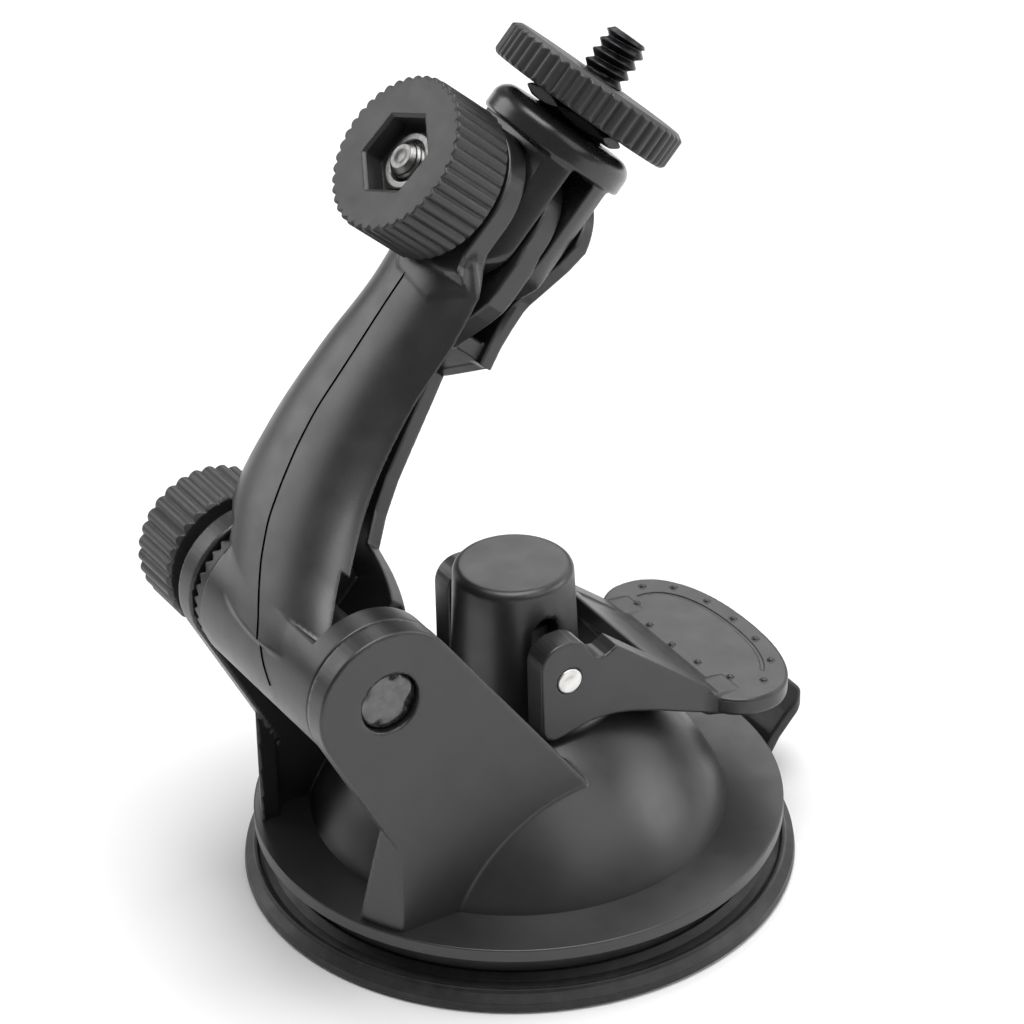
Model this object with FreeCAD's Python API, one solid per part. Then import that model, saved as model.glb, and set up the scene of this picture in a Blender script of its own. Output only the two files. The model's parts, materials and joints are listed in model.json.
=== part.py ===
import FreeCAD, Part
import math
import os

# Suction-cup mount for a small camera. Millimetres, +Z up, origin at the centre of the cup's resting
# face. X is the lower pivot's axis, with its knob at -X; the lever and the release tab point to +Y.

V = FreeCAD.Vector
UP = V(0, 0, 1)
ALONG_X = V(1, 0, 0)
ALONG_Y = V(0, 1, 0)

# suction cup
CUP_R = 37.3
CUP_SEAT_R = 29.5
LIP_R = 35.6
LIP_TOP = 2.9
CUP_HOLLOW = 2.9
CUP_BOSS_R = 12.0
CUP_BOSS_TOP = 9.4
TAB_HALF_WIDTH = 5.0
TAB_THICK = 1.8

# base housing
RIM_R = 35.7
RIM_TOP = 9.0
RIM_BOTTOM = 7.1
SKIRT_R = 32.6
SKIRT_BOTTOM = 3.0
WALL = 2.4
DOME_FOOT_R = 27.8
DOME_FOOT_Z = 9.6
DOME_CENTRE_Z = -2.2
LAND_Z = 25.1
TOWER_FOOT_R = 8.7
TOWER_TOP_R = 8.0
TOWER_TOP = 45.5
TOWER_ROUND = 1.1
TOWER_BORE_R = 5.6
SLOT_HALF = 1.95
SLOT_LOW = 28.6
SLOT_HIGH = 41.8

# ears and lower pivot
PIVOT_Y = -29.5
PIVOT_Z = 44.6
EAR_OUT = 18.9
EAR_IN = 15.4
EAR_R = 10.15
EAR_FRONT_FOOT = (-29.1, 7.0)
EAR_FRONT_KNEE = (-28.1, 19.6)
EAR_REAR_CORNER = (-0.8, 22.1)
GUSSET_R = 34.75
GUSSET_THICK = 2.6
GUSSET_IN = (13.0, 16.9)
GUSSET_TOP = 26.5
HEAD_RECESS_R = 4.17
HEAD_RECESS_DEPTH = 1.8

# lever
PIN_Z = 34.5
PIN_R = 1.8
PIN_HALF = 13.9
FORK_OUT = 13.7
FORK_IN = 9.8
CAM_REAR = -4.2
CAM_R = 1.95
CAM_LOW = 25.95
CAM_TOP = 40.3
WEB_FRONT_R = 14.7
WEB_ANGLES = (-11.6, -33.7, -19.6)
WEB_THICK = 1.8
ARM_EDGE = ((7.4, 37.4), (24.0, 23.83))
PADDLE_Y = 28.33
PADDLE_Z = 23.83
PADDLE_A = 17.2
PADDLE_B = 9.15
PADDLE_POWER = 2.27
PADDLE_THICK = 2.6
PADDLE_TILT = -2.9
GROOVE_DEPTH = 0.45
DOME_ROOM = 0.45

# stem
STEM_R = 5.5
STEM_TOP = 38.0
STEM_FLANGE_R = 10.0
STEM_FLANGE = (5.6, 7.4)
SPRING_R = 4.0
SPRING_WIRE_R = 0.45
SPRING_TURNS = 4

# fasteners
BOLT_R = 2.45
BOLT_HOLE_R = 2.55
NUT_FLATS = 8.0
NUT_THICK = 3.6
RECESS_FLATS = 10.0
RECESS_DEPTH = 3.4
NUT_DEPTH = 2.4
BOLT_END_DEPTH = 1.1

# arm, in its own frame: X as above, Y across the arm, Z along it, origin on the lower pivot
LEAN = 42.5
TOP_X = -16.0
TOP_L = 56.9
PRONG_R = 10.0
PRONG_T = 3.4
PRONG_GAP = 4.0
PRONG_START = -10.0
FAR_PRONG_T = 2.4
ARM_MID = -0.9
ARM_WALL = 2.5
ARM_POWER = 2.5
BARREL_R = 10.1
BARREL_LOW = -12.9
BARREL_HIGH = 15.1
EAR_RELIEF = 0.7
ARM_TRAVEL = (-20, 80)
# stations of the arm's outer shell: distance along, centre in X, half size in X, half size in Y
ARM_STATIONS = (
    (-9.0, 1.5, 15.0, 8.6),
    (0.0, -1.8, 16.6, 9.5),
    (8.0, -7.3, 16.4, 9.7),
    (18.0, -11.3, 14.5, 9.4),
    (30.0, -13.0, 12.9, 9.1),
    (42.0, -12.7, 11.9, 9.1),
    (50.0, -13.7, 11.5, 9.1),
)
MOUTH_SIDE = (3.0, 1.0)
MOUTH_SIDE_U = (-7.2, 6.6)
BARREL_WINDOW = (-7.0, 11.7)
BARREL_BOSS_R = 4.6

# each upper prong below its round end, from back to front, as (X, distance along)
PRONG_TAILS = (
    ((-24.2, 54.0), (-19.0, 47.5), (-16.0, 45.0), (-8.0, 44.0), (-4.6, 47.4), (-5.4, 48.8), (-6.4, 51.0)),
    ((-23.5, 38.5), (-10.0, 40.0), (-6.8, 45.6), (-5.6, 48.4), (-5.5, 53.5)),
    ((-20.5, 39.0), (-8.9, 39.9), (-9.7, 43.3), (-10.1, 45.7), (-10.2, 48.6), (-9.3, 50.7), (-8.2, 53.5),
     (-7.1, 56.3)),
)
CROWN_FROM = (-5, -5, 15)

# knobs
UPPER_KNOB = (-20.8, -11.0, 10.85, 40)
UPPER_WASHER = (-10.7, 8.4, 0.6)
UPPER_TURN = 22.75
LOWER_KNOB = (-30.2, -21.7, 10.1, 30)
FLUTE_DEPTH = 0.55
RATCHET_TEETH = 36
RATCHET_R = 9.8
RATCHET_BORE_R = 4.0
RATCHET_BASE = 1.2
RATCHET_DEPTH = 0.9

# tripod head, along the arm's Z above the upper pivot
HEAD_TILT = 1.8
HEAD_MID = 0.0
HEAD_PRONG_R = 9.9
FLANGE_R = 10.4
FLANGE = (11.0, 15.2)
NECK_R = 4.9
LOCK_NUT = (12.8, 15.6, 17.2)
WHEEL_R = 13.4
WHEEL = (17.3, 22.3)
WHEEL_RIDGES = 48
RIDGE_DEPTH = 0.5
WHEEL_HUB_R = 7.6
WHEEL_WALL = 1.8
WHEEL_HOLLOW = 3.0
WHEEL_SINK = (3.6, 0.6)
SCREW_R = 3.1
SCREW_CORE_R = 2.5
SCREW_LOW = 11.8
SCREW_FREE = 22.9
SCREW_TOP = 28.9


def wire_from(points):
    corners = [V(*p) for p in points]
    return Part.makePolygon(corners + corners[:1])


def revolve_profile(points):
    """Turn a closed outline of (radius, height) points round the Z axis."""
    face = Part.Face(wire_from([(r, 0, z) for r, z in points]))
    return face.revolve(V(0, 0, 0), UP, 360)


def arc_points(centre_z, radius, z_from, z_to, count):
    """Points on a sphere's section between two heights, as (radius, height)."""
    steps = [z_from + (z_to - z_from) * i / count for i in range(count + 1)]
    return [(math.sqrt(radius**2 - (z - centre_z) ** 2), z) for z in steps]


def round_corner(r, z, size):
    """Points round a convex top edge whose square corner is at (r, z)."""
    angles = [math.radians(15 * i) for i in range(7)]
    return [(r - size + size * math.cos(a), z - size + size * math.sin(a)) for a in angles]


def prism_x(points, x0, x1):
    """Extrude a (y, z) outline from x0 to x1."""
    face = Part.Face(wire_from([(x0, y, z) for y, z in points]))
    return face.extrude(V(x1 - x0, 0, 0))


def prism_y(points, y0, y1):
    """Extrude an (x, z) outline from y0 to y1."""
    face = Part.Face(wire_from([(x, y0, z) for x, z in points]))
    return face.extrude(V(0, y1 - y0, 0))


def cylinder(r, start, direction, length):
    return Part.makeCylinder(r, length, V(*start), direction)


def box(low, high):
    size = [b - a for a, b in zip(low, high)]
    return Part.makeBox(*size, V(*low))


def tangent_angle(point, centre, r, side):
    """Polar angle, on a circle, where a line from an outside point touches it."""
    dy = point[0] - centre[0]
    dz = point[1] - centre[1]
    return math.atan2(dz, dy) + side * math.acos(r / math.hypot(dy, dz))


def superellipse(centre, half_x, half_y, power, height, count=28):
    """Closed smooth wire in a level plane."""
    points = []
    for i in range(count):
        angle = 2 * math.pi * i / count
        c = math.cos(angle)
        s = math.sin(angle)
        x = centre[0] + half_x * math.copysign(abs(c) ** (2 / power), c)
        y = centre[1] + half_y * math.copysign(abs(s) ** (2 / power), s)
        points.append(V(x, y, height))
    curve = Part.BSplineCurve()
    curve.interpolate(points, PeriodicFlag=True)
    return Part.Wire(curve.toShape())


def fluted_wire(radius, depth, count, height):
    """Closed outline of outward-bulging flutes."""
    edges = []
    step = 2 * math.pi / count
    for i in range(count):
        ends = [V((radius - depth) * math.cos(a), (radius - depth) * math.sin(a), height)
                for a in (i * step, (i + 1) * step)]
        middle = (i + 0.5) * step
        top = V(radius * math.cos(middle), radius * math.sin(middle), height)
        edges.append(Part.Arc(ends[0], top, ends[1]).toShape())
    return Part.Wire(edges)


def hexagon(flats, height):
    r = flats / math.sqrt(3)
    angles = [math.radians(60 * i) for i in range(6)]
    return wire_from([(r * math.cos(a), r * math.sin(a), height) for a in angles])


def hex_prism(flats, z0, z1):
    return Part.Face(hexagon(flats, z0)).extrude(V(0, 0, z1 - z0))


def turned_to_x(shape, x, y, z):
    """Lay a Z-axis shape along X, its local +Z towards -X, with its origin at (x, y, z)."""
    shape = shape.copy()
    shape.rotate(V(0, 0, 0), ALONG_Y, -90)
    shape.translate(V(x, y, z))
    return shape


def turned_to_y(shape, x, y, z):
    """Lay a Z-axis shape along Y, its local +Z towards -Y, with its origin at (x, y, z)."""
    shape = shape.copy()
    shape.rotate(V(0, 0, 0), ALONG_X, 90)
    shape.translate(V(x, y, z))
    return shape


def on_arm(shape):
    """Move a shape from the arm's own frame to the part's frame."""
    shape = shape.copy()
    shape.rotate(V(0, 0, 0), ALONG_X, -LEAN)
    shape.translate(V(0, PIVOT_Y, PIVOT_Z))
    return shape


def save(name, shape):
    """Write one node, after checking that it is a single sound solid."""
    sound = shape.isValid() and shape.Volume > 0 and len(shape.Solids) == 1
    print(name, round(shape.Volume, 1), "" if sound else "NOT SOUND")
    shape.Solids[0].exportStep("parts/" + name + ".step")


# ---- suction cup -------------------------------------------------------------------------------

def release_tab():
    middle = [(34.6, 1.2), (36.8, 3.6), (38.6, 6.6), (41.0, 9.2), (43.6, 11.4)]
    half = TAB_THICK / 2
    upper = [(y - half * 0.75, z + half * 0.66) for y, z in middle]
    lower = [(y + half * 0.75, z - half * 0.66) for y, z in reversed(middle)]
    tab = prism_x(upper + lower, -TAB_HALF_WIDTH, TAB_HALF_WIDTH)
    tip = [e for e in tab.Edges
           if e.BoundBox.YMin > 42 and e.Length < TAB_THICK * 1.2 and e.BoundBox.XLength < 0.1]
    return tab.makeFillet(2.2, tip)


def suction_cup():
    cup = revolve_profile([
        (0, CUP_HOLLOW), (9, CUP_HOLLOW - 0.2), (CUP_SEAT_R, 0), (CUP_R - 0.4, 0), (CUP_R, 0.5),
        (CUP_R - 0.1, 1.3), (LIP_R + 0.4, LIP_TOP - 0.2), (LIP_R, LIP_TOP), (LIP_R - 0.6, LIP_TOP - 0.3),
        (LIP_R - 0.9, 2.0), (SKIRT_R + 0.4, 2.0), (SKIRT_R, SKIRT_BOTTOM), (SKIRT_R - 2.6, SKIRT_BOTTOM),
        (CUP_BOSS_R, 5.6), (CUP_BOSS_R, CUP_BOSS_TOP), (0, CUP_BOSS_TOP)])
    pocket = cylinder(STEM_FLANGE_R + 0.05, (0, 0, STEM_FLANGE[0] - 0.05), UP,
                      STEM_FLANGE[1] - STEM_FLANGE[0] + 0.1)
    neck = cylinder(STEM_R + 0.05, (0, 0, STEM_FLANGE[0]), UP, CUP_BOSS_TOP)
    return cup.fuse(release_tab()).cut(pocket).cut(neck)


def cup_stem():
    stem = cylinder(STEM_R, (0, 0, STEM_FLANGE[0]), UP, STEM_TOP - STEM_FLANGE[0])
    flange = cylinder(STEM_FLANGE_R, (0, 0, STEM_FLANGE[0]), UP, STEM_FLANGE[1] - STEM_FLANGE[0])
    hole = cylinder(PIN_R + 0.03, (-20, 0, PIN_Z), ALONG_X, 40)
    return stem.fuse(flange).cut(hole)


def return_spring():
    low = STEM_TOP + SPRING_WIRE_R + 0.05
    high = TOWER_TOP - WALL - SPRING_WIRE_R - 0.05
    pitch = (high - low) / SPRING_TURNS
    helix = Part.makeHelix(pitch, high - low, SPRING_R)
    section = Part.Wire(Part.Circle(V(SPRING_R, 0, 0), ALONG_Y, SPRING_WIRE_R).toShape())
    spring = Part.Wire(helix.Edges).makePipeShell([section], True, True)
    spring.translate(V(0, 0, low))
    return spring


# ---- base housing ------------------------------------------------------------------------------

def housing_blank():
    """Ring, dome and tower, filled inside."""
    dome_r = math.hypot(DOME_FOOT_R, DOME_FOOT_Z - DOME_CENTRE_Z)
    dome = arc_points(DOME_CENTRE_Z, dome_r, DOME_FOOT_Z, LAND_Z, 12)
    tower_top = round_corner(TOWER_TOP_R, TOWER_TOP, TOWER_ROUND)
    outline = [(0, SKIRT_BOTTOM), (SKIRT_R, SKIRT_BOTTOM), (SKIRT_R, RIM_BOTTOM), (RIM_R, RIM_BOTTOM),
               (RIM_R, RIM_TOP - 0.3), (RIM_R - 0.3, RIM_TOP)]
    outline += dome + [(TOWER_FOOT_R + 0.7, LAND_Z), (TOWER_FOOT_R, LAND_Z + 0.9)] + tower_top
    return revolve_profile(outline + [(0, TOWER_TOP)])


def housing_void():
    """The space under the ring and the dome and inside the tower."""
    inner_r = math.hypot(DOME_FOOT_R, DOME_FOOT_Z - DOME_CENTRE_Z) - WALL
    roof = LAND_Z - WALL
    dome = arc_points(DOME_CENTRE_Z, inner_r, RIM_TOP - WALL, roof, 12)
    outline = [(0, 0), (SKIRT_R - 2, 0), (SKIRT_R - 2, RIM_TOP - WALL)] + dome
    outline += [(TOWER_BORE_R, roof), (TOWER_BORE_R, TOWER_TOP - WALL), (0, TOWER_TOP - WALL)]
    return revolve_profile(outline)


def ear_outline(grow):
    """Side view of an ear as (y, z) points, optionally grown outwards above the knees."""
    pivot = (PIVOT_Y, PIVOT_Z)
    r = EAR_R + grow
    front = (EAR_FRONT_KNEE[0] - grow, EAR_FRONT_KNEE[1])
    rear = (EAR_REAR_CORNER[0] + grow, EAR_REAR_CORNER[1] + grow)
    start = tangent_angle(front, pivot, r, -1) + 2 * math.pi
    end = tangent_angle(rear, pivot, r, 1)
    steps = [start + (end - start) * i / 20 for i in range(21)]
    crown = [(PIVOT_Y + r * math.cos(a), PIVOT_Z + r * math.sin(a)) for a in steps]
    return [EAR_FRONT_FOOT, front] + crown + [rear, (rear[0], EAR_FRONT_FOOT[1])]


def ear(side):
    low, high = sorted((side * EAR_IN, side * EAR_OUT))
    return prism_x(ear_outline(0), low, high)


def gusset(side):
    """Front web at an ear's foot, curved with the ring, its inner edge sloping up to the ear."""
    foot = RIM_TOP - 1.5
    wall = cylinder(GUSSET_R, (0, 0, foot), UP, GUSSET_TOP - foot)
    core = cylinder(GUSSET_R - GUSSET_THICK, (0, 0, foot), UP, GUSSET_TOP - foot)
    outline = [(side * GUSSET_IN[0], foot), (side * EAR_OUT, foot), (side * EAR_OUT, GUSSET_TOP),
               (side * GUSSET_IN[1], GUSSET_TOP)]
    return wall.cut(core).common(prism_y(outline, -40, 0))


def tower_slot():
    slot = box((-12, -SLOT_HALF, SLOT_LOW), (12, SLOT_HALF, SLOT_HIGH - SLOT_HALF))
    return slot.fuse(cylinder(SLOT_HALF, (-12, 0, SLOT_HIGH - SLOT_HALF), ALONG_X, 24))


def base_housing():
    body = housing_blank().multiFuse([ear(1), ear(-1), gusset(1), gusset(-1)])
    cuts = [housing_void(), tower_slot(),
            cylinder(BOLT_HOLE_R, (-EAR_OUT - 1, PIVOT_Y, PIVOT_Z), ALONG_X, 2 * EAR_OUT + 2),
            cylinder(HEAD_RECESS_R, (EAR_OUT - HEAD_RECESS_DEPTH, PIVOT_Y, PIVOT_Z), ALONG_X, 5)]
    for tool in cuts:
        body = body.cut(tool)
    return body


# ---- lever -------------------------------------------------------------------------------------

def cam_arm(x0, x1):
    """One arm of the fork, from the cam foot up over the pin and down to the paddle."""
    def at(y, z):
        return V(x0, y, z)

    cam_y = CAM_REAR + CAM_R
    cam_z = CAM_LOW + CAM_R
    k = math.sqrt(0.5)
    shoulder = Part.BSplineCurve()
    shoulder.interpolate([at(0.6, CAM_TOP), at(2.5, 39.2), at(3.5, 37.5), at(5.4, 36.4), at(*ARM_EDGE[0])])
    belly = Part.BSplineCurve()
    belly.interpolate([at(21.5, 21.5), at(16.5, 23.6), at(11.9, 25.4), at(8.0, 26.6), at(4.8, 27.0),
                       at(1.8, 26.75), at(-0.4, 26.25), at(cam_y, CAM_LOW)])
    edges = [
        Part.LineSegment(at(CAM_REAR, cam_z), at(CAM_REAR, CAM_TOP - 3.3)),
        Part.Arc(at(CAM_REAR, CAM_TOP - 3.3), at(CAM_REAR + 3.3 * (1 - k), CAM_TOP - 3.3 * (1 - k)),
                 at(CAM_REAR + 3.3, CAM_TOP)),
        Part.LineSegment(at(CAM_REAR + 3.3, CAM_TOP), at(0.6, CAM_TOP)),
        shoulder,
        Part.LineSegment(at(*ARM_EDGE[0]), at(*ARM_EDGE[1])),
        Part.LineSegment(at(*ARM_EDGE[1]), at(25.5, PADDLE_Z - 0.2)),
        Part.LineSegment(at(25.5, PADDLE_Z - 0.2), at(25.5, 21.5)),
        Part.LineSegment(at(25.5, 21.5), at(21.5, 21.5)),
        belly,
        Part.Arc(at(cam_y, CAM_LOW), at(cam_y - CAM_R * k, cam_z - CAM_R * k), at(CAM_REAR, cam_z)),
    ]
    wire = Part.Wire([e.toShape() for e in edges])
    return Part.Face(wire).extrude(V(x1 - x0, 0, 0))


def lever_web():
    """Sloping plate between the fork's arms, turned down in front in an arc about the pin."""
    def about_pin(r, degrees):
        angle = math.radians(degrees)
        return (r * math.cos(angle), PIN_Z + r * math.sin(angle))

    top, foot, rear_top = WEB_ANGLES
    front = [about_pin(WEB_FRONT_R, top + (foot - top) * i / 8) for i in range(9)]
    rear = [about_pin(WEB_FRONT_R + WEB_THICK, foot + (rear_top - foot) * i / 6) for i in range(7)]
    y1 = ARM_EDGE[1][0]
    low_z = ARM_EDGE[1][1] - 0.15
    outline = front + rear + [(y1 - 2.5, low_z - 2.0), (y1 + 1, low_z - 1.6),
                              (y1 + 1, low_z), (y1, low_z)]
    return prism_x(outline, -FORK_IN - 0.5, FORK_IN + 0.5)


def paddle_prism(scale, z0, z1):
    wire = superellipse((0, PADDLE_Y), PADDLE_A * scale, PADDLE_B * scale, PADDLE_POWER, z0)
    return Part.Face(wire).extrude(V(0, 0, z1 - z0))


def paddle():
    """Oval plate with a rounded top edge and a debossed arc along its outer side."""
    top = PADDLE_Z
    plate = paddle_prism(1.0, top - PADDLE_THICK, top)
    rim = [e for e in plate.Edges if e.BoundBox.ZMin > top - 0.1]
    plate = plate.makeFillet(0.5, rim)
    band = paddle_prism(0.72, top - GROOVE_DEPTH, top + 1).cut(paddle_prism(0.68, top - 2, top + 2))
    groove = band.common(box((-30, PADDLE_Y - 0.5, top - 2), (30, PADDLE_Y + 20, top + 2)))
    plate = plate.cut(groove)
    plate.rotate(V(0, PADDLE_Y, top), ALONG_X, PADDLE_TILT)
    return plate


def cam_lever():
    dome_r = math.hypot(DOME_FOOT_R, DOME_FOOT_Z - DOME_CENTRE_Z)
    room = Part.makeSphere(dome_r + DOME_ROOM, V(0, 0, DOME_CENTRE_Z))
    plate = paddle().cut(room)
    lever = plate.multiFuse([cam_arm(FORK_IN, FORK_OUT), cam_arm(-FORK_OUT, -FORK_IN), lever_web()])
    return lever.cut(cylinder(PIN_R + 0.07, (-20, 0, PIN_Z), ALONG_X, 40))


def lever_pin():
    pin = cylinder(PIN_R, (-PIN_HALF, 0, PIN_Z), ALONG_X, 2 * PIN_HALF)
    ends = [e for e in pin.Edges if e.BoundBox.XLength < 0.01]
    return pin.makeChamfer(0.25, ends)


# ---- fasteners and knobs ------------------------------------------------------------------------

def hex_nut():
    """Hexagonal nut with chamfered corners, its outer face at z = 0 and its body below."""
    corner_r = NUT_FLATS / math.sqrt(3)
    face_r = NUT_FLATS * 0.475
    turned = revolve_profile([(0, 0), (face_r, 0), (corner_r + 0.02, -(corner_r - face_r) * 0.58),
                              (corner_r + 0.02, -NUT_THICK), (0, -NUT_THICK)])
    nut = hex_prism(NUT_FLATS, -NUT_THICK, 0).common(turned)
    return nut.cut(cylinder(BOLT_HOLE_R, (0, 0, -NUT_THICK - 1), UP, NUT_THICK + 2))


def fluted_knob(length, radius, flutes, hub_r, hub_length):
    """Knob with its outer face at z = 0: fluted body, hexagonal recess, nut pocket and rear hub."""
    body = Part.Face(fluted_wire(radius, FLUTE_DEPTH, flutes, -length)).extrude(V(0, 0, length))
    crown = revolve_profile([(0, 1), (radius - 0.7, 1), (radius - 0.7, 0), (radius + 0.1, -0.8),
                             (radius + 0.1, -length - 1), (0, -length - 1)])
    body = body.common(crown)
    body = body.fuse(cylinder(hub_r, (0, 0, -length - hub_length), UP, hub_length + 1))
    body = body.cut(hex_prism(RECESS_FLATS, -RECESS_DEPTH, 1))
    body = body.cut(hex_prism(NUT_FLATS + 0.1, -NUT_DEPTH - NUT_THICK, 1))
    return body.cut(cylinder(BOLT_HOLE_R + 0.1, (0, 0, -length - hub_length - 1), UP, length + 10))


def bolt_shank(length):
    """Plain shank below z = 0 with a chamfered free end."""
    return revolve_profile([(0, 0), (BOLT_R - 0.5, 0), (BOLT_R, -0.5), (BOLT_R, -length), (0, -length)])


def lower_bolt():
    """Shank through both ears, with a domed round head in the near ear's recess."""
    seat = EAR_OUT - HEAD_RECESS_DEPTH
    end = LOWER_KNOB[0] + BOLT_END_DEPTH
    shank = turned_to_x(bolt_shank(seat - end), end, PIVOT_Y, PIVOT_Z)
    head = revolve_profile([(0, 0), (HEAD_RECESS_R - 0.2, 0), (HEAD_RECESS_R - 0.2, -0.9),
                            (HEAD_RECESS_R - 0.7, -1.4), (2.2, -1.65), (0, -1.7)])
    return shank.fuse(turned_to_x(head, seat, PIVOT_Y, PIVOT_Z))


def upper_bolt():
    """Shank through all five prongs, with a hexagonal head let into the far prong."""
    seat = PRONG_START + 3 * PRONG_T + 2 * PRONG_GAP - 1.6
    end = UPPER_KNOB[0] + BOLT_END_DEPTH
    shank = turned_to_y(bolt_shank(seat - end), TOP_X, end, TOP_L)
    head = turned_to_y(hex_prism(NUT_FLATS, 0, -3.0), TOP_X, seat, TOP_L)
    return on_arm(shank.fuse(head))


def washer(hole_r, outer_r, thick):
    ring = cylinder(outer_r, (0, 0, 0), UP, thick)
    return ring.cut(cylinder(hole_r, (0, 0, -1), UP, thick + 2))


def ratchet_ring():
    """Ring on the barrel's end with radial teeth facing the far ear."""
    ring = washer(RATCHET_BORE_R, RATCHET_R, RATCHET_BASE)
    tooth = box((RATCHET_BORE_R + 1, -0.42, RATCHET_BASE - 0.1),
                (RATCHET_R, 0.42, RATCHET_BASE + RATCHET_DEPTH))
    teeth = []
    for i in range(RATCHET_TEETH):
        copy = tooth.copy()
        copy.rotate(V(0, 0, 0), UP, 360 * i / RATCHET_TEETH)
        teeth.append(copy)
    return on_arm(turned_to_x(ring.multiFuse(teeth), BARREL_LOW, 0, 0))


# ---- arm ---------------------------------------------------------------------------------------

def arm_shell(inset):
    wires = [superellipse((x, ARM_MID), a - inset, b - inset, ARM_POWER, l)
             for l, x, a, b in ARM_STATIONS]
    return Part.makeLoft(wires, True, False)


def foot_outline():
    """Side view of what is kept of the shell: everything above a rounded tongue."""
    angles = [math.radians(180 + 10 * i) for i in range(19)]
    tongue = [(2.0 + 17.2 * math.cos(a), 4.0 + 7.9 * math.sin(a)) for a in angles]
    return [(-40, 49), (-40, 4)] + tongue + [(40, 4), (40, 49)]


def channel_mouth():
    """The open side of the channel, with the far wall cut down in its middle stretch."""
    outline = [(-16.9, 35.5), (-13.2, 21.0), (-9.1, 12.4), (-4.0, 11.2), (3.0, 9.2), (16.0, 6.0),
               (30.0, 6.0), (30.0, 60.0), (-10.0, 60.0), (-10.0, 40.3)]
    side = box((MOUTH_SIDE[0], MOUTH_SIDE_U[0], MOUTH_SIDE[1]), (30, MOUTH_SIDE_U[1], 9.5))
    return prism_y(outline, -6.3, 30).fuse(side)


def channel_floor():
    """Sloping plate that closes the fork's pocket from the channel below."""
    outline = [(-27, 35.0), (-17.4, 35.2), (-10.0, 40.2), (-10.4, 42.4), (-17.6, 37.6), (-27, 37.4)]
    return prism_y(outline, -9.5, 7.7)


def pivot_barrel():
    """Barrel on the lower pivot, open to the channel but for a boss round the bolt."""
    barrel = cylinder(BARREL_R, (BARREL_LOW, 0, 0), ALONG_X, BARREL_HIGH - BARREL_LOW)
    window = box((BARREL_WINDOW[0], -BARREL_R - 1, MOUTH_SIDE[1]),
                 (BARREL_WINDOW[1], MOUTH_SIDE_U[1], BARREL_R + 1))
    boss = cylinder(BARREL_BOSS_R, (BARREL_LOW, 0, 0), ALONG_X, BARREL_HIGH - BARREL_LOW)
    return barrel.cut(window.cut(boss))


def prong(index):
    """One of the three upper prongs, round about the pivot and running down into the shell."""
    start = PRONG_START + index * (PRONG_T + PRONG_GAP)
    thick = FAR_PRONG_T if index == 2 else PRONG_T
    first = CROWN_FROM[index]
    angles = [math.radians(first + (165 - first) * i / 17) for i in range(18)]
    crown = [(TOP_X + PRONG_R * math.cos(a), TOP_L + PRONG_R * math.sin(a)) for a in angles]
    return prism_y(crown + list(PRONG_TAILS[index]), start, start + thick)


def ear_sweep():
    """Where the far ear passes, seen from the arm, at both ends of the arm's travel."""
    low = -LOWER_KNOB[0] + 1
    tools = [cylinder(EAR_R + EAR_RELIEF, (-low, 0, 0), ALONG_X, low - EAR_IN + 0.3)]
    for travel in ARM_TRAVEL:
        plate = prism_x(ear_outline(EAR_RELIEF), -EAR_OUT - 0.4, -EAR_IN + 0.3)
        plate.translate(V(0, -PIVOT_Y, -PIVOT_Z))
        plate.rotate(V(0, 0, 0), ALONG_X, LEAN - travel)
        tools.append(plate)
    return tools[0].multiFuse(tools[1:])


def arm():
    shell = arm_shell(0).common(prism_y(foot_outline(), -40, 40))
    shell = shell.cut(arm_shell(ARM_WALL)).cut(channel_mouth())
    floor = channel_floor().common(arm_shell(0))
    body = shell.multiFuse([pivot_barrel(), floor, prong(0), prong(1), prong(2)])
    for index in (0, 1):
        start = PRONG_START + PRONG_T + index * (PRONG_T + PRONG_GAP)
        body = body.cut(cylinder(PRONG_R + 0.5, (TOP_X, start, TOP_L), ALONG_Y, PRONG_GAP))
    far_face = PRONG_START + 3 * PRONG_T + 2 * PRONG_GAP
    cuts = [ear_sweep(),
            cylinder(RATCHET_R + 0.1, (-EAR_IN, 0, 0), ALONG_X, EAR_IN + BARREL_LOW),
            box((BARREL_HIGH, -30, -30), (40, 30, 30)),
            cylinder(BOLT_R + 0.08, (-40, 0, 0), ALONG_X, 80),
            cylinder(BOLT_R + 0.08, (TOP_X, -40, TOP_L), ALONG_Y, 80),
            turned_to_y(hex_prism(NUT_FLATS + 0.1, -2, 1.6), TOP_X, far_face, TOP_L)]
    for tool in cuts:
        body = body.cut(tool)
    return on_arm(body)


# ---- head --------------------------------------------------------------------------------------

def on_head(shape):
    """Place a shape, drawn upright about the upper pivot, on the head as it stands tilted."""
    shape = shape.copy()
    shape.rotate(V(0, 0, 0), ALONG_Y, HEAD_TILT)
    shape.translate(V(TOP_X, 0, TOP_L))
    return on_arm(shape)


def head_prong(index):
    start = PRONG_START + PRONG_T + 0.3 + index * (PRONG_T + PRONG_GAP)
    angles = [math.radians(180 + 10 * i) for i in range(19)]
    round_end = [(HEAD_PRONG_R * math.cos(a), HEAD_PRONG_R * math.sin(a)) for a in angles]
    top = FLANGE[0] + 1
    outline = round_end + [(HEAD_PRONG_R, top), (-HEAD_PRONG_R, top)]
    envelope = cylinder(FLANGE_R - 0.05, (0, HEAD_MID, -15), UP, 40)
    return prism_y(outline, start, start + PRONG_T).common(envelope)


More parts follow.
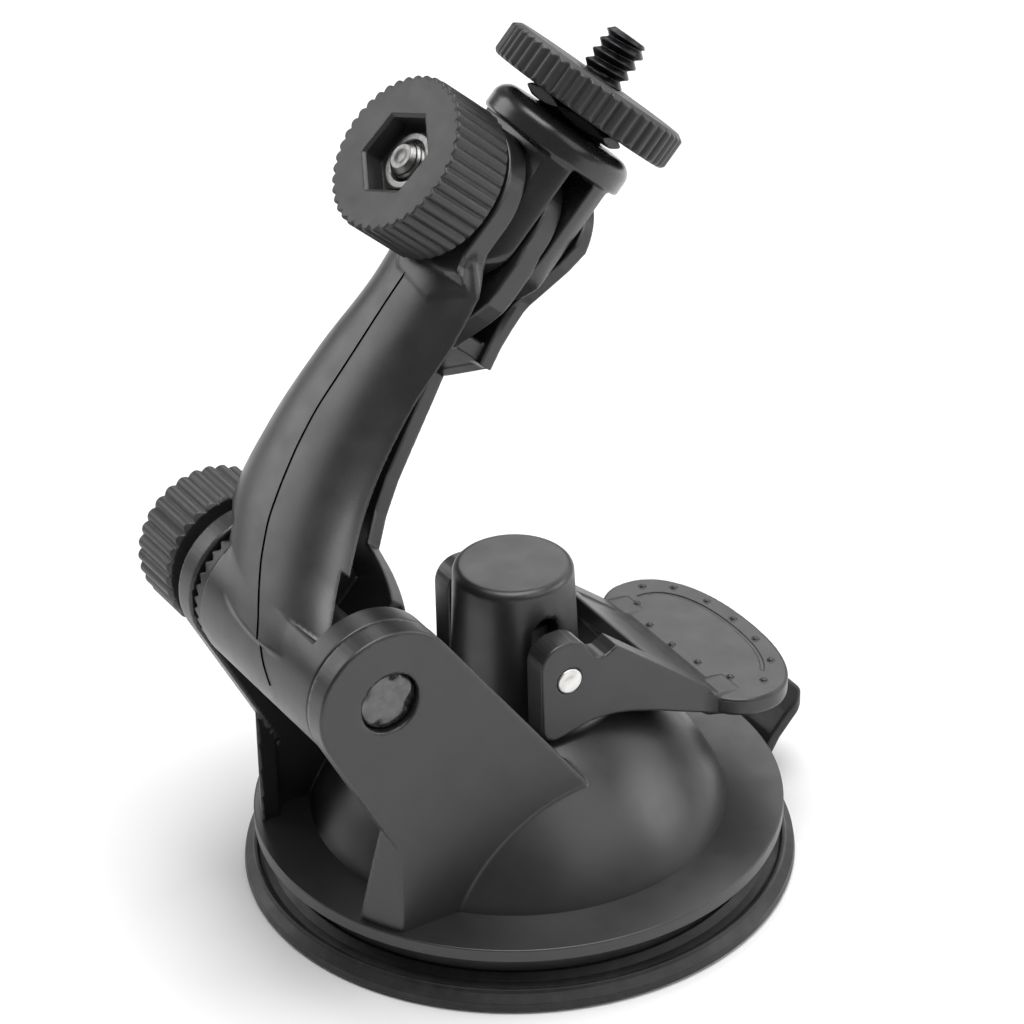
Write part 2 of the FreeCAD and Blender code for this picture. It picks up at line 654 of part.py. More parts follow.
def tripod_head():
    low, high = FLANGE
    neck_top = LOCK_NUT[1] - 0.05
    flange = revolve_profile([(0, low), (FLANGE_R - 0.5, low), (FLANGE_R, low + 0.5)]
                             + round_corner(FLANGE_R, high, 2.2)
                             + [(NECK_R + 0.4, high), (NECK_R, high + 0.2),
                                (NECK_R, neck_top), (0, neck_top)])
    flange.translate(V(0, HEAD_MID, 0))
    head = flange.multiFuse([head_prong(0), head_prong(1)])
    head = head.cut(cylinder(BOLT_R + 0.08, (0, -40, 0), ALONG_Y, 80))
    return on_head(head.cut(camera_screw()))


def camera_screw():
    """Camera screw: moulded-in hexagonal foot, core through the wheel and wider free end."""
    foot = hex_prism(9.0, SCREW_LOW, SCREW_LOW + 2)
    shank = revolve_profile([(0, SCREW_LOW), (SCREW_CORE_R, SCREW_LOW), (SCREW_CORE_R, SCREW_FREE),
                             (SCREW_R, SCREW_FREE), (SCREW_R, SCREW_TOP - 0.7),
                             (SCREW_R - 0.8, SCREW_TOP), (0, SCREW_TOP)])
    screw = foot.fuse(shank)
    screw.translate(V(0, HEAD_MID, 0))
    return screw


def lock_nut():
    """Flat hexagonal nut under the wheel."""
    flats, low, high = LOCK_NUT
    nut = hex_prism(flats, low, high).cut(cylinder(SCREW_CORE_R + 0.03, (0, 0, 0), UP, 60))
    nut.translate(V(0, HEAD_MID, 0))
    return on_head(nut)


def thumb_wheel():
    low, high = WHEEL
    body = Part.Face(fluted_wire(WHEEL_R, RIDGE_DEPTH, WHEEL_RIDGES, low)).extrude(V(0, 0, high - low))
    envelope = revolve_profile([(0, low), (WHEEL_R - 0.8, low), (WHEEL_R, low + 0.7), (WHEEL_R, high - 0.4),
                                (WHEEL_R - 0.6, high), (0, high)])
    hollow = washer(WHEEL_HUB_R, WHEEL_R - WHEEL_WALL, WHEEL_HOLLOW + 0.2)
    hollow.translate(V(0, 0, low - 0.2))
    body = body.common(envelope).cut(hollow)
    body = body.cut(cylinder(SCREW_CORE_R + 0.05, (0, 0, 0), UP, 60))
    body = body.cut(cylinder(WHEEL_SINK[0], (0, 0, high - WHEEL_SINK[1]), UP, 5))
    body.translate(V(0, HEAD_MID, 0))
    return on_head(body)


# ---- assembly ----------------------------------------------------------------------------------

def lower_pivot_parts():
    face, back, radius, flutes = LOWER_KNOB
    hub = -EAR_OUT - 1.0 - back
    knob = fluted_knob(back - face, radius, flutes, 7.2, hub)
    save("lower_knob", turned_to_x(knob, face, PIVOT_Y, PIVOT_Z))
    nut_face = face + NUT_DEPTH
    save("lower_nut", turned_to_x(hex_nut(), nut_face, PIVOT_Y, PIVOT_Z))
    save("lower_washer", turned_to_x(washer(BOLT_HOLE_R, 6.0, 0.7), -EAR_OUT - 0.1, PIVOT_Y, PIVOT_Z))
    save("lower_bolt", lower_bolt())


def upper_pivot_parts():
    face, back, radius, flutes = UPPER_KNOB
    washer_at, washer_r, washer_thick = UPPER_WASHER
    knob = fluted_knob(back - face, radius, flutes, 8.6, washer_at - back - 0.05)
    knob.rotate(V(0, 0, 0), UP, UPPER_TURN)
    save("upper_knob", on_arm(turned_to_y(knob, TOP_X, face, TOP_L)))
    ring = washer(BOLT_HOLE_R, washer_r, washer_thick)
    save("upper_washer", on_arm(turned_to_y(ring, TOP_X, washer_at + washer_thick, TOP_L)))
    nut_face = face + NUT_DEPTH
    nut = hex_nut()
    nut.rotate(V(0, 0, 0), UP, UPPER_TURN)
    save("upper_nut", on_arm(turned_to_y(nut, TOP_X, nut_face, TOP_L)))
    save("upper_bolt", upper_bolt())


def main():
    os.makedirs("parts", exist_ok=True)
    save("base_housing", base_housing())
    save("suction_cup", suction_cup())
    save("cup_stem", cup_stem())
    save("return_spring", return_spring())
    save("cam_lever", cam_lever())
    save("lever_pin", lever_pin())
    save("arm", arm())
    save("ratchet_ring", ratchet_ring())
    lower_pivot_parts()
    upper_pivot_parts()
    save("tripod_head", tripod_head())
    save("camera_screw", on_head(camera_screw()))
    save("lock_nut", lock_nut())
    save("thumb_wheel", thumb_wheel())


main()
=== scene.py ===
"""The finished look of a suction-cup camera mount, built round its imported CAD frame.

Most visible plastic is modelled here as signed distances, in millimetres: a function of x, y and z that
is negative inside the part. mesh_of() turns one into a closed quad mesh that lies on its zero surface.
"""

import json
import math

import bpy
import numpy as np
from mathutils import Matrix, Vector


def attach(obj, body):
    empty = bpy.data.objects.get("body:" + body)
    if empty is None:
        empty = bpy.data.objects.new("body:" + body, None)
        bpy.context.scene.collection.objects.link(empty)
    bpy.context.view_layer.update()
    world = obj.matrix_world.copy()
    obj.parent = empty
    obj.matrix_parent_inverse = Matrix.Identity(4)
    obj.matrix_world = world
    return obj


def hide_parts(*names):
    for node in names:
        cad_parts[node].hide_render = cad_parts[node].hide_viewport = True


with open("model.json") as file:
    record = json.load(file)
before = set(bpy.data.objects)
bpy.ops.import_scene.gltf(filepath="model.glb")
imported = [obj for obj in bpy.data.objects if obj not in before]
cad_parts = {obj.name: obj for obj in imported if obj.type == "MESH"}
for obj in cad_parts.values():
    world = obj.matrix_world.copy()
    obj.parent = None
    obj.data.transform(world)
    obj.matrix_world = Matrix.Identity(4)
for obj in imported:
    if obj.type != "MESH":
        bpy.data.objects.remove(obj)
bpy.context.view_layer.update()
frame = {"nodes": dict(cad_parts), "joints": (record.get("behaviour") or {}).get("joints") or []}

MM = 0.001
COARSER = 1.0

# ---- dimensions in millimetres ------------------------------------------------------------------

# suction cup
CUP_R = 37.3
CUP_HOLLOW = 2.9
CUP_BOSS = (12.0, 9.4)
LIP_R = 35.6
LIP_TOP = 2.9
TAB_HALF_WIDTH = 5.0
TAB_HALF_THICK = 0.9
TAB_START_R = 36.0
TAB_PATH = ((33.6, 1.5), (36.8, 3.6), (38.6, 6.6), (41.0, 9.2), (43.4, 11.2))

# base housing: the pin's slot in the tower is its half width, foot and top; an ear's front and rear
# edges are points in (y, z); the bolt head's recess is its radius and depth
RIM_R = 35.7
RIM_Z = (7.1, 9.0)
SKIRT_R = 32.6
SKIRT_BOTTOM = 3.0
WALL = 2.4
DOME_FOOT = (27.8, 9.6)
DOME_CENTRE_Z = -2.2
LAND_Z = 25.1
TOWER_R = (8.7, 8.0)
TOWER_TOP = 45.5
TOWER_BORE_R = 5.6
SLOT = (1.95, 28.6, 41.0)
EAR_X = (15.4, 18.9)
EAR_R = 10.15
EAR_FRONT = ((-29.1, 7.0), (-28.1, 19.6))
EAR_REAR = (-0.8, 22.1)
GUSSET_R = 34.75
GUSSET_THICK = 2.6
GUSSET_IN = (13.0, 16.9)
GUSSET_TOP = 26.5
RECESS = (4.17, 1.8)

# lever: its outline runs through points in (y, z), and the paddle's top face is at PADDLE_Z
PIN_Z = 34.5
PIN_R = 1.8
FORK_X = (9.8, 13.7)
CAM_CENTRE = (-2.25, 27.9)
CAM_R = 1.95
ARM_EDGE = ((7.4, 37.4), (24.0, 23.83))
WEB_FRONT_R = 14.7
WEB_FOOT_Z = 26.3
PADDLE_Y = 28.33
PADDLE_Z = 23.83
PADDLE_SIZE = (17.2, 9.15)
PADDLE_POWER = 2.27
PADDLE_THICK = 2.6
PADDLE_TILT = math.radians(-2.9)

# arm, in its own frame: x as in the row, y (also called u) across, z (also called l) along, origin on
# the lower pivot. A station gives l, then the oval's middle x, its half width and its half depth
TOP_X = -16.0
TOP_L = 56.9
ARM_MID = -0.9
ARM_WALL = 2.5
ARM_POWER = 2.5
BARREL_R = 10.1
BARREL_X = (-12.9, 15.3)
EAR_GAP = 0.7
LEAN_LIMITS = (62.5, -37.5)
ARM_STATIONS = ((-9.0, 1.5, 15.0, 8.6), (0.0, -1.8, 16.6, 9.5), (8.0, -7.3, 16.4, 9.7),
                (18.0, -11.3, 14.5, 9.4), (30.0, -13.0, 12.9, 9.1), (42.0, -12.7, 11.9, 9.1),
                (50.0, -13.7, 11.5, 9.1))
MOUTH_U = -6.3
MOUTH_SIDE = (3.0, 1.0)
MOUTH_SIDE_U = (-7.2, 6.6)
MOUTH_SIDE_TOP = 9.5
FLOOR_U = (-9.5, 7.7)
BARREL_WINDOW = (-7.0, 11.7)
BARREL_BOSS_R = 4.6
FAR_WALL_U = 7.2
TONGUE = (2.0, 4.0, 17.2, 7.9)
CREST_L = (48.0, 54.0)
CREST_X = -3.4
CREST_SLOPE = 1.3
SEAM = ((-14.0, 46.5), (-14.0, 40.0), (-13.7, 31.5), (-13.4, 24.0), (-12.2, 18.5), (-10.6, 14.0), (-8.4, 9.0),
        (-5.2, 4.5), (-2.2, 1.3), (0.8, -1.7), (3.8, -5.4), (6.0, -7.6))
SEAM_R = 0.13
PRONG_R = 10.0
PRONG_START = -10.0
PRONG_T = (3.4, 3.4, 2.4)
PRONG_STEP = 7.4
BOLT_R = 2.45

# knobs: place of the outer face on the pivot axis, length, radius, flutes, hub radius and hub length
LOWER_KNOB = (-30.2, 8.5, 10.1, 30, 7.2, 1.8)
UPPER_TURN = math.radians(22.75)
UPPER_KNOB = (-20.8, 9.8, 10.85, 40, 8.6, 0.25)
FLUTE_DEPTH = 0.55
RECESS_FLATS = 10.0
RECESS_DEPTH = 3.4
NUT_FLATS = 8.0
NUT_DEPTH = 2.4
NUT_THICK = 3.6
BOLT_END_DEPTH = 1.1
BOLT_PITCH = 0.8

# ratchet ring on the barrel's far end
RATCHET_X = (-14.1, -12.9)
RATCHET_R = (4.0, 9.8)
RATCHET_TEETH = 36
TOOTH_HEIGHT = 0.9

# head, in a frame with its origin on the upper pivot and z up its screw. The nut is its flats, foot
# and top; the screw its foot, the start of its free end and its tip
HEAD_PRONG_R = 9.9
FLANGE_R = 10.4
FLANGE_Z = (11.0, 15.2)
HEAD_PRONG_U = ((-6.3, -2.9), (1.1, 4.5))
NECK_R = 4.9
LOCK_NUT = (12.8, 15.6, 17.2)
WHEEL_R = 13.4
WHEEL_Z = (17.3, 22.3)
WHEEL_RIDGES = 48
WHEEL_HUB_R = 7.6
WHEEL_WALL = 1.8
WHEEL_HOLLOW = 3.0
WHEEL_SINK = (3.6, 0.6)
SCREW_R = 3.1
SCREW_CORE_R = 2.5
SCREW_Z = (11.8, 22.6, 28.9)
THREAD_PITCH = 1.6

# ---- frames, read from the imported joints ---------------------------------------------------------

joints = {j["name"]: j for j in frame["joints"]}


def placed(x_axis, y_axis, z_axis, origin):
    """Matrix from a local frame in millimetres to the row frame in metres."""
    matrix = Matrix.Identity(4)
    for column, axis in enumerate((x_axis, y_axis, z_axis)):
        for row in range(3):
            matrix[row][column] = axis[row] * MM
    matrix.translation = origin
    return matrix


EX = Vector((1, 0, 0))
EY = Vector((0, 1, 0))
EZ = Vector((0, 0, 1))
across = Vector(joints["head_hinge"]["axis"]).normalized()
along = EX.cross(across)
screw_up = Vector(joints["wheel_turn"]["axis"]).normalized()
lower_pivot = Vector(joints["arm_hinge"]["pos_m"])
upper_pivot = Vector(joints["head_hinge"]["pos_m"])
PIVOT_Y = lower_pivot.y / MM
PIVOT_Z = lower_pivot.z / MM

ROW = placed(EX, EY, EZ, Vector((0, 0, 0)))
ARM = placed(EX, across, along, lower_pivot)
HEAD = placed(across.cross(screw_up), across, screw_up, upper_pivot)


# ---- signed distances ----------------------------------------------------------------------------

def both(a, b, r=0.0):
    """Where two shapes overlap, with edges rounded by r."""
    if r == 0:
        return np.maximum(a, b)
    return np.minimum(-r, np.maximum(a, b)) + np.hypot(np.maximum(a + r, 0), np.maximum(b + r, 0))


def either(a, b, r=0.0):
    """Two shapes joined, with a fillet of radius r."""
    if r == 0:
        return np.minimum(a, b)
    return np.maximum(r, np.minimum(a, b)) - np.hypot(np.maximum(r - a, 0), np.maximum(r - b, 0))


def less(a, b, r=0.0):
    """The first shape without the second."""
    return both(a, -b, r)


def slab(v, low, high):
    """Between two parallel planes."""
    return np.abs(v - (low + high) / 2) - (high - low) / 2


def rectangle(u, v, low, high, r=0.0):
    """Rectangle in two coordinates, with rounded corners."""
    return both(slab(u, low[0], high[0]), slab(v, low[1], high[1]), r)


def polygon(u, v, points):
    """Distance to a closed outline in two coordinates."""
    nearest = None
    flips = False
    for (ax, ay), (bx, by) in zip(points, points[1:] + points[:1]):
        ex, ey = bx - ax, by - ay
        wx, wy = u - ax, v - ay
        t = np.clip((wx * ex + wy * ey) / (ex * ex + ey * ey), 0, 1)
        d = (wx - ex * t) ** 2 + (wy - ey * t) ** 2
        nearest = d if nearest is None else np.minimum(nearest, d)
        above = (v >= ay) != (v >= by)
        slope = ex / ey if ey else 0.0
        flips = flips ^ (above & (u < ax + (v - ay) * slope))
    return np.where(flips, -1.0, 1.0) * np.sqrt(nearest)


def polyline(u, v, points):
    """Distance from an open line in two coordinates."""
    nearest = None
    for (ax, ay), (bx, by) in zip(points, points[1:]):
        ex, ey = bx - ax, by - ay
        wx, wy = u - ax, v - ay
        t = np.clip((wx * ex + wy * ey) / (ex * ex + ey * ey), 0, 1)
        d = np.hypot(wx - ex * t, wy - ey * t)
        nearest = d if nearest is None else np.minimum(nearest, d)
    return nearest


def superellipse(u, v, a, b, power):
    """Nearly exact distance to a superellipse with half sizes a and b."""
    p = np.abs(u / a) + 1e-9
    q = np.abs(v / b) + 1e-9
    level = (p**power + q**power) ** (1 / power)
    slope = level ** (1 - power) * np.hypot(p ** (power - 1) / a, q ** (power - 1) / b)
    return (level - 1) / slope


def hexagon(u, v, flats):
    """Hexagon with two corners on the u axis."""
    k = math.sqrt(3) / 2
    return np.maximum(np.abs(v), np.abs(u) * k + np.abs(v) * 0.5) - flats / 2


def fluted(x, y, radius, depth, count):
    """Outward-bulging flutes round the z axis."""
    turn = np.arctan2(y, x) * count / (2 * np.pi)
    from_crest = 2 * (turn - np.floor(turn)) - 1
    return np.hypot(x, y) - radius + depth * from_crest**2


def turned_by(angle, u, v):
    """Two coordinates turned by an angle, anticlockwise."""
    c, s = math.cos(angle), math.sin(angle)
    return u * c - v * s, u * s + v * c


def threaded(x, y, z, crest, root, pitch):
    """Right-handed screw thread along z, with slightly flattened crests."""
    turn = z / pitch - np.arctan2(y, x) / (2 * np.pi)
    rise = np.abs(2 * (turn - np.floor(turn)) - 1)
    height = np.clip(1.25 * rise - 0.1, 0, 1)
    steep = math.hypot(1, 2.5 * (crest - root) / pitch)
    return (np.hypot(x, y) - root - (crest - root) * height) / steep


def arc(centre, r, start, end, count):
    """Points along a circle from one angle to another, in degrees."""
    angles = [math.radians(start + (end - start) * i / count) for i in range(count + 1)]
    return [(centre[0] + r * math.cos(a), centre[1] + r * math.sin(a)) for a in angles]


# ---- meshing -------------------------------------------------------------------------------------

def slope_at(shape, points, step):
    """Gradient of a shape at points, by central differences."""
    parts = []
    for axis in range(3):
        shift = np.zeros(3)
        shift[axis] = step
        ahead = shape(*(points + shift).T)
        behind = shape(*(points - shift).T)
        parts.append((ahead - behind) / (2 * step))
    return np.stack(parts, axis=1)


def unit(vectors):
    """Each row scaled to length 1."""
    return vectors / np.maximum(np.linalg.norm(vectors, axis=1, keepdims=True), 1e-9)


class Cells:
    """Grid cells that the surface crosses, and what their crossed edges say about its place in them."""

    def __init__(self, solid):
        counts = np.array(solid.shape)
        mixed = np.zeros(counts - 1, np.int8)
        for c in np.ndindex(2, 2, 2):
            end = counts - 1 + c
            mixed += solid[c[0]:end[0], c[1]:end[1], c[2]:end[2]]
        self.at = np.argwhere((mixed > 0) & (mixed < 8))
        self.index = np.full(counts - 1, -1, np.int32)
        self.index[tuple(self.at.T)] = np.arange(len(self.at), dtype=np.int32)
        self.sums = np.zeros((13, len(self.at)))

    def add(self, which, points, normals):
        """Each crossing gives its point and the plane through it."""
        offset = (points * normals).sum(1)
        n = normals.T
        rows = [n[0] * n[0], n[0] * n[1], n[0] * n[2], n[1] * n[1], n[1] * n[2], n[2] * n[2],
                n[0] * offset, n[1] * offset, n[2] * offset, *points.T, np.ones(len(points))]
        for total, row in zip(self.sums, rows):
            total += np.bincount(which, row, len(self.at))

    def vertices(self, cell):
        """The point in each cell nearest to all its planes, held close to the mean crossing."""
        xx, xy, xz, yy, yz, zz = self.sums[:6]
        count = self.sums[12]
        mean = (self.sums[9:12] / count).T
        planes = np.stack([xx, xy, xz, xy, yy, yz, xz, yz, zz], axis=1).reshape(-1, 3, 3)
        pull = self.sums[6:9].T - np.einsum("nij,nj->ni", planes, mean)
        planes = planes + 0.04 * count[:, None, None] * np.eye(3)
        move = np.linalg.solve(planes, pull[:, :, None])[:, :, 0]
        length = np.linalg.norm(move, axis=1, keepdims=True)
        return mean + move * np.minimum(1, 0.8 * cell / np.maximum(length, 1e-9))


def mesh_of(shape, low, high, cell):
    """Points, quads and normals of the surface where shape is zero, inside a box (dual contouring)."""
    cell = cell * COARSER
    low = np.array(low, float) - cell * 1.37
    counts = np.ceil((np.array(high, float) + cell * 1.5 - low) / cell).astype(int) + 1
    x, y, z = [low[i] + cell * np.arange(counts[i]) for i in range(3)]
    field = np.broadcast_to(shape(x[:, None, None], y[None, :, None], z[None, None, :]), counts)
    solid = field < 0
    cells = Cells(solid)
    quads = []
    units = np.eye(3, dtype=int)
    for axis in range(3):
        du, dv = units[(axis + 1) % 3], units[(axis + 2) % 3]
        inner = [slice(1, -1)] * 3
        inner[axis] = slice(0, -1)
        ahead = [slice(1, -1)] * 3
        ahead[axis] = slice(1, None)
        edges = np.argwhere(solid[tuple(inner)] != solid[tuple(ahead)]) + du + dv
        a = field[tuple(edges.T)]
        b = field[tuple((edges + units[axis]).T)]
        points = low + cell * (edges + (a / (a - b))[:, None] * units[axis])
        normals = unit(slope_at(shape, points, 0.02))
        ring = np.stack([cells.index[tuple((edges - m).T)] for m in (0 * du, du, du + dv, dv)], axis=1)
        for which in ring.T:
            cells.add(which, points, normals)
        ring[a > 0] = ring[a > 0][:, ::-1]
        quads.append(ring)
    points = cells.vertices(cell)
    for _ in range(2):
        slope = slope_at(shape, points, 0.02)
        move = (shape(*points.T) / np.maximum((slope**2).sum(1), 0.05))[:, None] * slope
        length = np.linalg.norm(move, axis=1, keepdims=True)
        points = points - move * np.minimum(1, 0.3 * cell / np.maximum(length, 1e-9))
    return points, np.concatenate(quads), unit(slope_at(shape, points, 0.06))


def make_piece(name, points, quads, normals, place, body, slot, material, nodes=()):
    """A smooth-shaded piece from local points that rides on the body; its slot argument is not used."""
    turn = np.array(place)[:3, :3]
    mesh = bpy.data.meshes.new(name)
    mesh.vertices.add(len(points))
    mesh.vertices.foreach_set("co", (points @ turn.T + np.array(place.translation)).ravel())
    mesh.loops.add(quads.size)
    mesh.loops.foreach_set("vertex_index", quads.ravel().astype(np.int32))
    mesh.polygons.add(len(quads))
    mesh.polygons.foreach_set("loop_start", np.arange(0, quads.size, quads.shape[1], dtype=np.int32))
    mesh.update(calc_edges=True)
    mesh.validate()
    mesh.polygons.foreach_set("use_smooth", np.ones(len(mesh.polygons), bool))
    mesh.normals_split_custom_set_from_vertices((normals @ turn.T / MM).tolist())
    mesh.materials.append(material)
    piece = bpy.data.objects.new(name, mesh)
    bpy.context.scene.collection.objects.link(piece)
    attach(piece, body)
    if nodes:
        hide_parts(*nodes)
    return piece


def eased(outline, radius):
    """Closed outline with small arcs at its corners: points and outward normals, anticlockwise."""
    points = np.array(outline, float)
    ahead = unit(np.roll(points, -1, axis=0) - points)
    result = []
    for i, corner in enumerate(points):
        before, after = ahead[i - 1], ahead[i]
        turn = math.atan2(before[0] * after[1] - before[1] * after[0], before @ after)
        neighbours = (points[i - 1], points[(i + 1) % len(points)])
        shorter = min(np.linalg.norm(near - corner) for near in neighbours)
        r = min(radius, 0.45 * shorter / max(math.tan(abs(turn) / 2), 0.01))
        side = math.copysign(1, turn)
        outward = np.array([before[1], -before[0]])
        centre = corner - before * r * math.tan(abs(turn) / 2) - side * outward * r
        for step in range(5):
            angle = turn * step / 4
            c, s = math.cos(angle), math.sin(angle)
            normal = np.array([c * outward[0] - s * outward[1], s * outward[0] + c * outward[1]])
            result.append((*(centre + side * normal * r), *normal))
    return np.array(result)


def turned(name, outline, radius, segments, place, body, slot, material, nodes=()):
    """Ring made by turning a closed (r, z) outline about z, with its corners eased."""
    ring = eased(outline, radius)
    angles = np.arange(segments) * 2 * np.pi / segments
    c, s = np.cos(angles)[:, None], np.sin(angles)[:, None]
    flat = np.ones_like(c)
    points = np.stack([c * ring[:, 0], s * ring[:, 0], flat * ring[:, 1]], axis=2).reshape(-1, 3)
    normals = np.stack([c * ring[:, 2], s * ring[:, 2], flat * ring[:, 3]], axis=2).reshape(-1, 3)
    at = np.arange(segments * len(ring)).reshape(segments, len(ring))
    beyond = np.roll(at, -1, axis=0)
    quads = np.stack([at, beyond, np.roll(beyond, -1, axis=1), np.roll(at, -1, axis=1)], axis=2)
    return make_piece(name, points, quads.reshape(-1, 4), normals, place, body, slot, material, nodes)


def carve(name, shape, low, high, cell, place, body, slot, material, nodes=()):
    """A piece from a signed distance, meshed with cells of the given size."""
    return make_piece(name, *mesh_of(shape, low, high, cell), place, body, slot, material, nodes)


# ---- materials -----------------------------------------------------------------------------------

def node_tree(name):
    """A new material with its nodes, its links and its shader."""
    material = bpy.data.materials.new(name)
    material.use_nodes = True
    nodes = material.node_tree.nodes
    return material, nodes, material.node_tree.links, nodes["Principled BSDF"]


def noise(nodes, links, scale, detail=3.0, roughness=0.5):
    """Noise over the piece's own coordinates, which are metres in the row frame."""
    coordinates = nodes.new("ShaderNodeTexCoord")
    texture = nodes.new("ShaderNodeTexNoise")
    texture.inputs["Scale"].default_value = scale
    texture.inputs["Detail"].default_value = detail
    texture.inputs["Roughness"].default_value = roughness
    links.new(coordinates.outputs["Object"], texture.inputs["Vector"])
    return texture.outputs["Fac"]


def ramp(nodes, links, source, low, high, from_low=0.3, from_high=0.7):
    """A noise value spread between two numbers."""
    node = nodes.new("ShaderNodeMapRange")
    for socket, value in (("From Min", from_low), ("From Max", from_high), ("To Min", low), ("To Max", high)):
        node.inputs[socket].default_value = value
    links.new(source, node.inputs["Value"])
    return node.outputs["Result"]


def blend_colours(nodes, links, factor, first, second):
    """The first colour at factor 0 and the second at 1."""
    node = nodes.new("ShaderNodeMix")
    node.data_type = "RGBA"
    node.inputs["A"].default_value = (*first, 1)
    node.inputs["B"].default_value = (*second, 1)
    links.new(factor, node.inputs["Factor"])
    return node.outputs["Result"]


def bump(nodes, links, height, distance, below=None):
    """Surface relief of a given depth in metres, over another bump if there is one."""
    node = nodes.new("ShaderNodeBump")
    node.inputs["Distance"].default_value = distance
    node.inputs["Strength"].default_value = 1.0
    links.new(height, node.inputs["Height"])
    if below:
        links.new(below, node.inputs["Normal"])
    return node.outputs["Normal"]


def moulded(name, colour, rough, grain=0.00001, coat=0.0, specular=0.5):
    """Moulded plastic: cloudy tone, uneven gloss, a spark-eroded grain and a few flow ripples."""
    material, nodes, links, shader = node_tree(name)
    cloud = noise(nodes, links, 90, 4)
    tone = ramp(nodes, links, cloud, 0, 1)
    paler = [c * 1.12 for c in colour]
    darker = [c * 0.93 for c in colour]
    links.new(blend_colours(nodes, links, tone, darker, paler), shader.inputs["Base Color"])
    patches = noise(nodes, links, 260, 5, 0.6)
    links.new(ramp(nodes, links, patches, rough - 0.04, rough + 0.05), shader.inputs["Roughness"])
    fine = bump(nodes, links, noise(nodes, links, 4200, 2), grain)
    ripple = bump(nodes, links, noise(nodes, links, 150, 2), 0.000012, fine)
    links.new(ripple, shader.inputs["Normal"])
    shader.inputs["Specular IOR Level"].default_value = specular
    shader.inputs["Coat Weight"].default_value = coat
    shader.inputs["Coat Roughness"].default_value = 0.22
    return material


def soft_rubber(name, colour, rough):
    """Black rubber with a dusty bloom and small pores."""
    material, nodes, links, shader = node_tree(name)
    dust = ramp(nodes, links, noise(nodes, links, 420, 6, 0.65), 0, 1, 0.45, 0.75)
    bloom = [c * 1.9 + 0.004 for c in colour]
    links.new(blend_colours(nodes, links, dust, colour, bloom), shader.inputs["Base Color"])
    links.new(ramp(nodes, links, noise(nodes, links, 200, 4), rough - 0.07, rough + 0.1),
              shader.inputs["Roughness"])
    links.new(bump(nodes, links, noise(nodes, links, 2600, 3), 0.000012), shader.inputs["Normal"])
    shader.inputs["Specular IOR Level"].default_value = 0.42
    shader.inputs["Sheen Weight"].default_value = 0.05
    return material


def steel(name, colour, rough):
    """Machined metal, finely pitted and mottled."""
    material, nodes, links, shader = node_tree(name)
    mottle = ramp(nodes, links, noise(nodes, links, 700, 4), 0, 1)
    darker = [c * 0.72 for c in colour]
    links.new(blend_colours(nodes, links, mottle, darker, colour), shader.inputs["Base Color"])
    links.new(ramp(nodes, links, noise(nodes, links, 1500, 3), rough - 0.06, rough + 0.1),
              shader.inputs["Roughness"])
    links.new(bump(nodes, links, noise(nodes, links, 2500, 2), 0.000015), shader.inputs["Normal"])
    shader.inputs["Metallic"].default_value = 1.0
    return material


housing_plastic = moulded("housing_plastic", (0.017, 0.017, 0.0175), 0.36, specular=0.75)
arm_plastic = moulded("arm_plastic", (0.017, 0.017, 0.0175), 0.34, specular=0.75)
lever_plastic = moulded("lever_plastic", (0.018, 0.018, 0.0185), 0.36, specular=0.75)
knob_plastic = moulded("knob_plastic", (0.020, 0.020, 0.020), 0.44, grain=0.000016, specular=0.7)
head_plastic = moulded("head_plastic", (0.016, 0.016, 0.017), 0.27, grain=0.000006, coat=0.35)
ratchet_plastic = moulded("ratchet_plastic", (0.014, 0.014, 0.014), 0.34)
stem_plastic = moulded("stem_plastic", (0.06, 0.06, 0.06), 0.5)
cup_rubber = soft_rubber("cup_rubber", (0.012, 0.012, 0.0125), 0.42)
black_steel = steel("black_steel", (0.045, 0.045, 0.048), 0.33)
bright_steel = steel("bright_steel", (0.24, 0.237, 0.233), 0.32)
head_steel = steel("head_steel", (0.15, 0.15, 0.153), 0.2)
# Lock nut colour: the nut's own dark tone, made darker than the other plastics as painted shade under the wheel.
nut_black_and_shade = moulded("nut_black_and_shade", (0.007, 0.007, 0.007), 0.5, specular=0.3)
pin_steel = steel("pin_steel", (0.95, 0.94, 0.92), 0.42)
spring_steel = steel("spring_steel", (0.55, 0.54, 0.52), 0.28)
washer_steel = steel("washer_steel", (0.25, 0.25, 0.25), 0.35)
# Near-black colour of the parting-line bead is painted shade; the real seam is the arm's own plastic, dark only
# where its ridge shades.
seam_painted_shade = moulded("seam_painted_shade", (0.003, 0.003, 0.003), 0.6, specular=0.2)

# ---- base housing --------------------------------------------------------------------------------

DOME_R = math.hypot(DOME_FOOT[0], DOME_FOOT[1] - DOME_CENTRE_Z)


def ear_outline():
    """Side view of an ear in (y, z): straight front, round crown, straight rear."""
    def touching(point, side):
        dy = point[0] - PIVOT_Y
        dz = point[1] - PIVOT_Z
        return math.degrees(math.atan2(dz, dy) + side * math.acos(EAR_R / math.hypot(dy, dz)))

    start = touching(EAR_FRONT[1], -1) + 360
    end = touching(EAR_REAR, 1)
    crown = arc((PIVOT_Y, PIVOT_Z), EAR_R, start, end, 40)
    return [EAR_FRONT[0], EAR_FRONT[1]] + crown + [EAR_REAR, (EAR_REAR[0], EAR_FRONT[0][1])]


EAR_OUTLINE = ear_outline()


def tower(r, z):
    """Tapered tower on the flat that cuts off the dome."""
    taper = (z - LAND_Z) / (TOWER_TOP - LAND_Z)
    tower_r = TOWER_R[0] + (TOWER_R[1] - TOWER_R[0]) * taper
    return both(both(r - tower_r, z - TOWER_TOP, 1.15), LAND_Z - 3 - z)


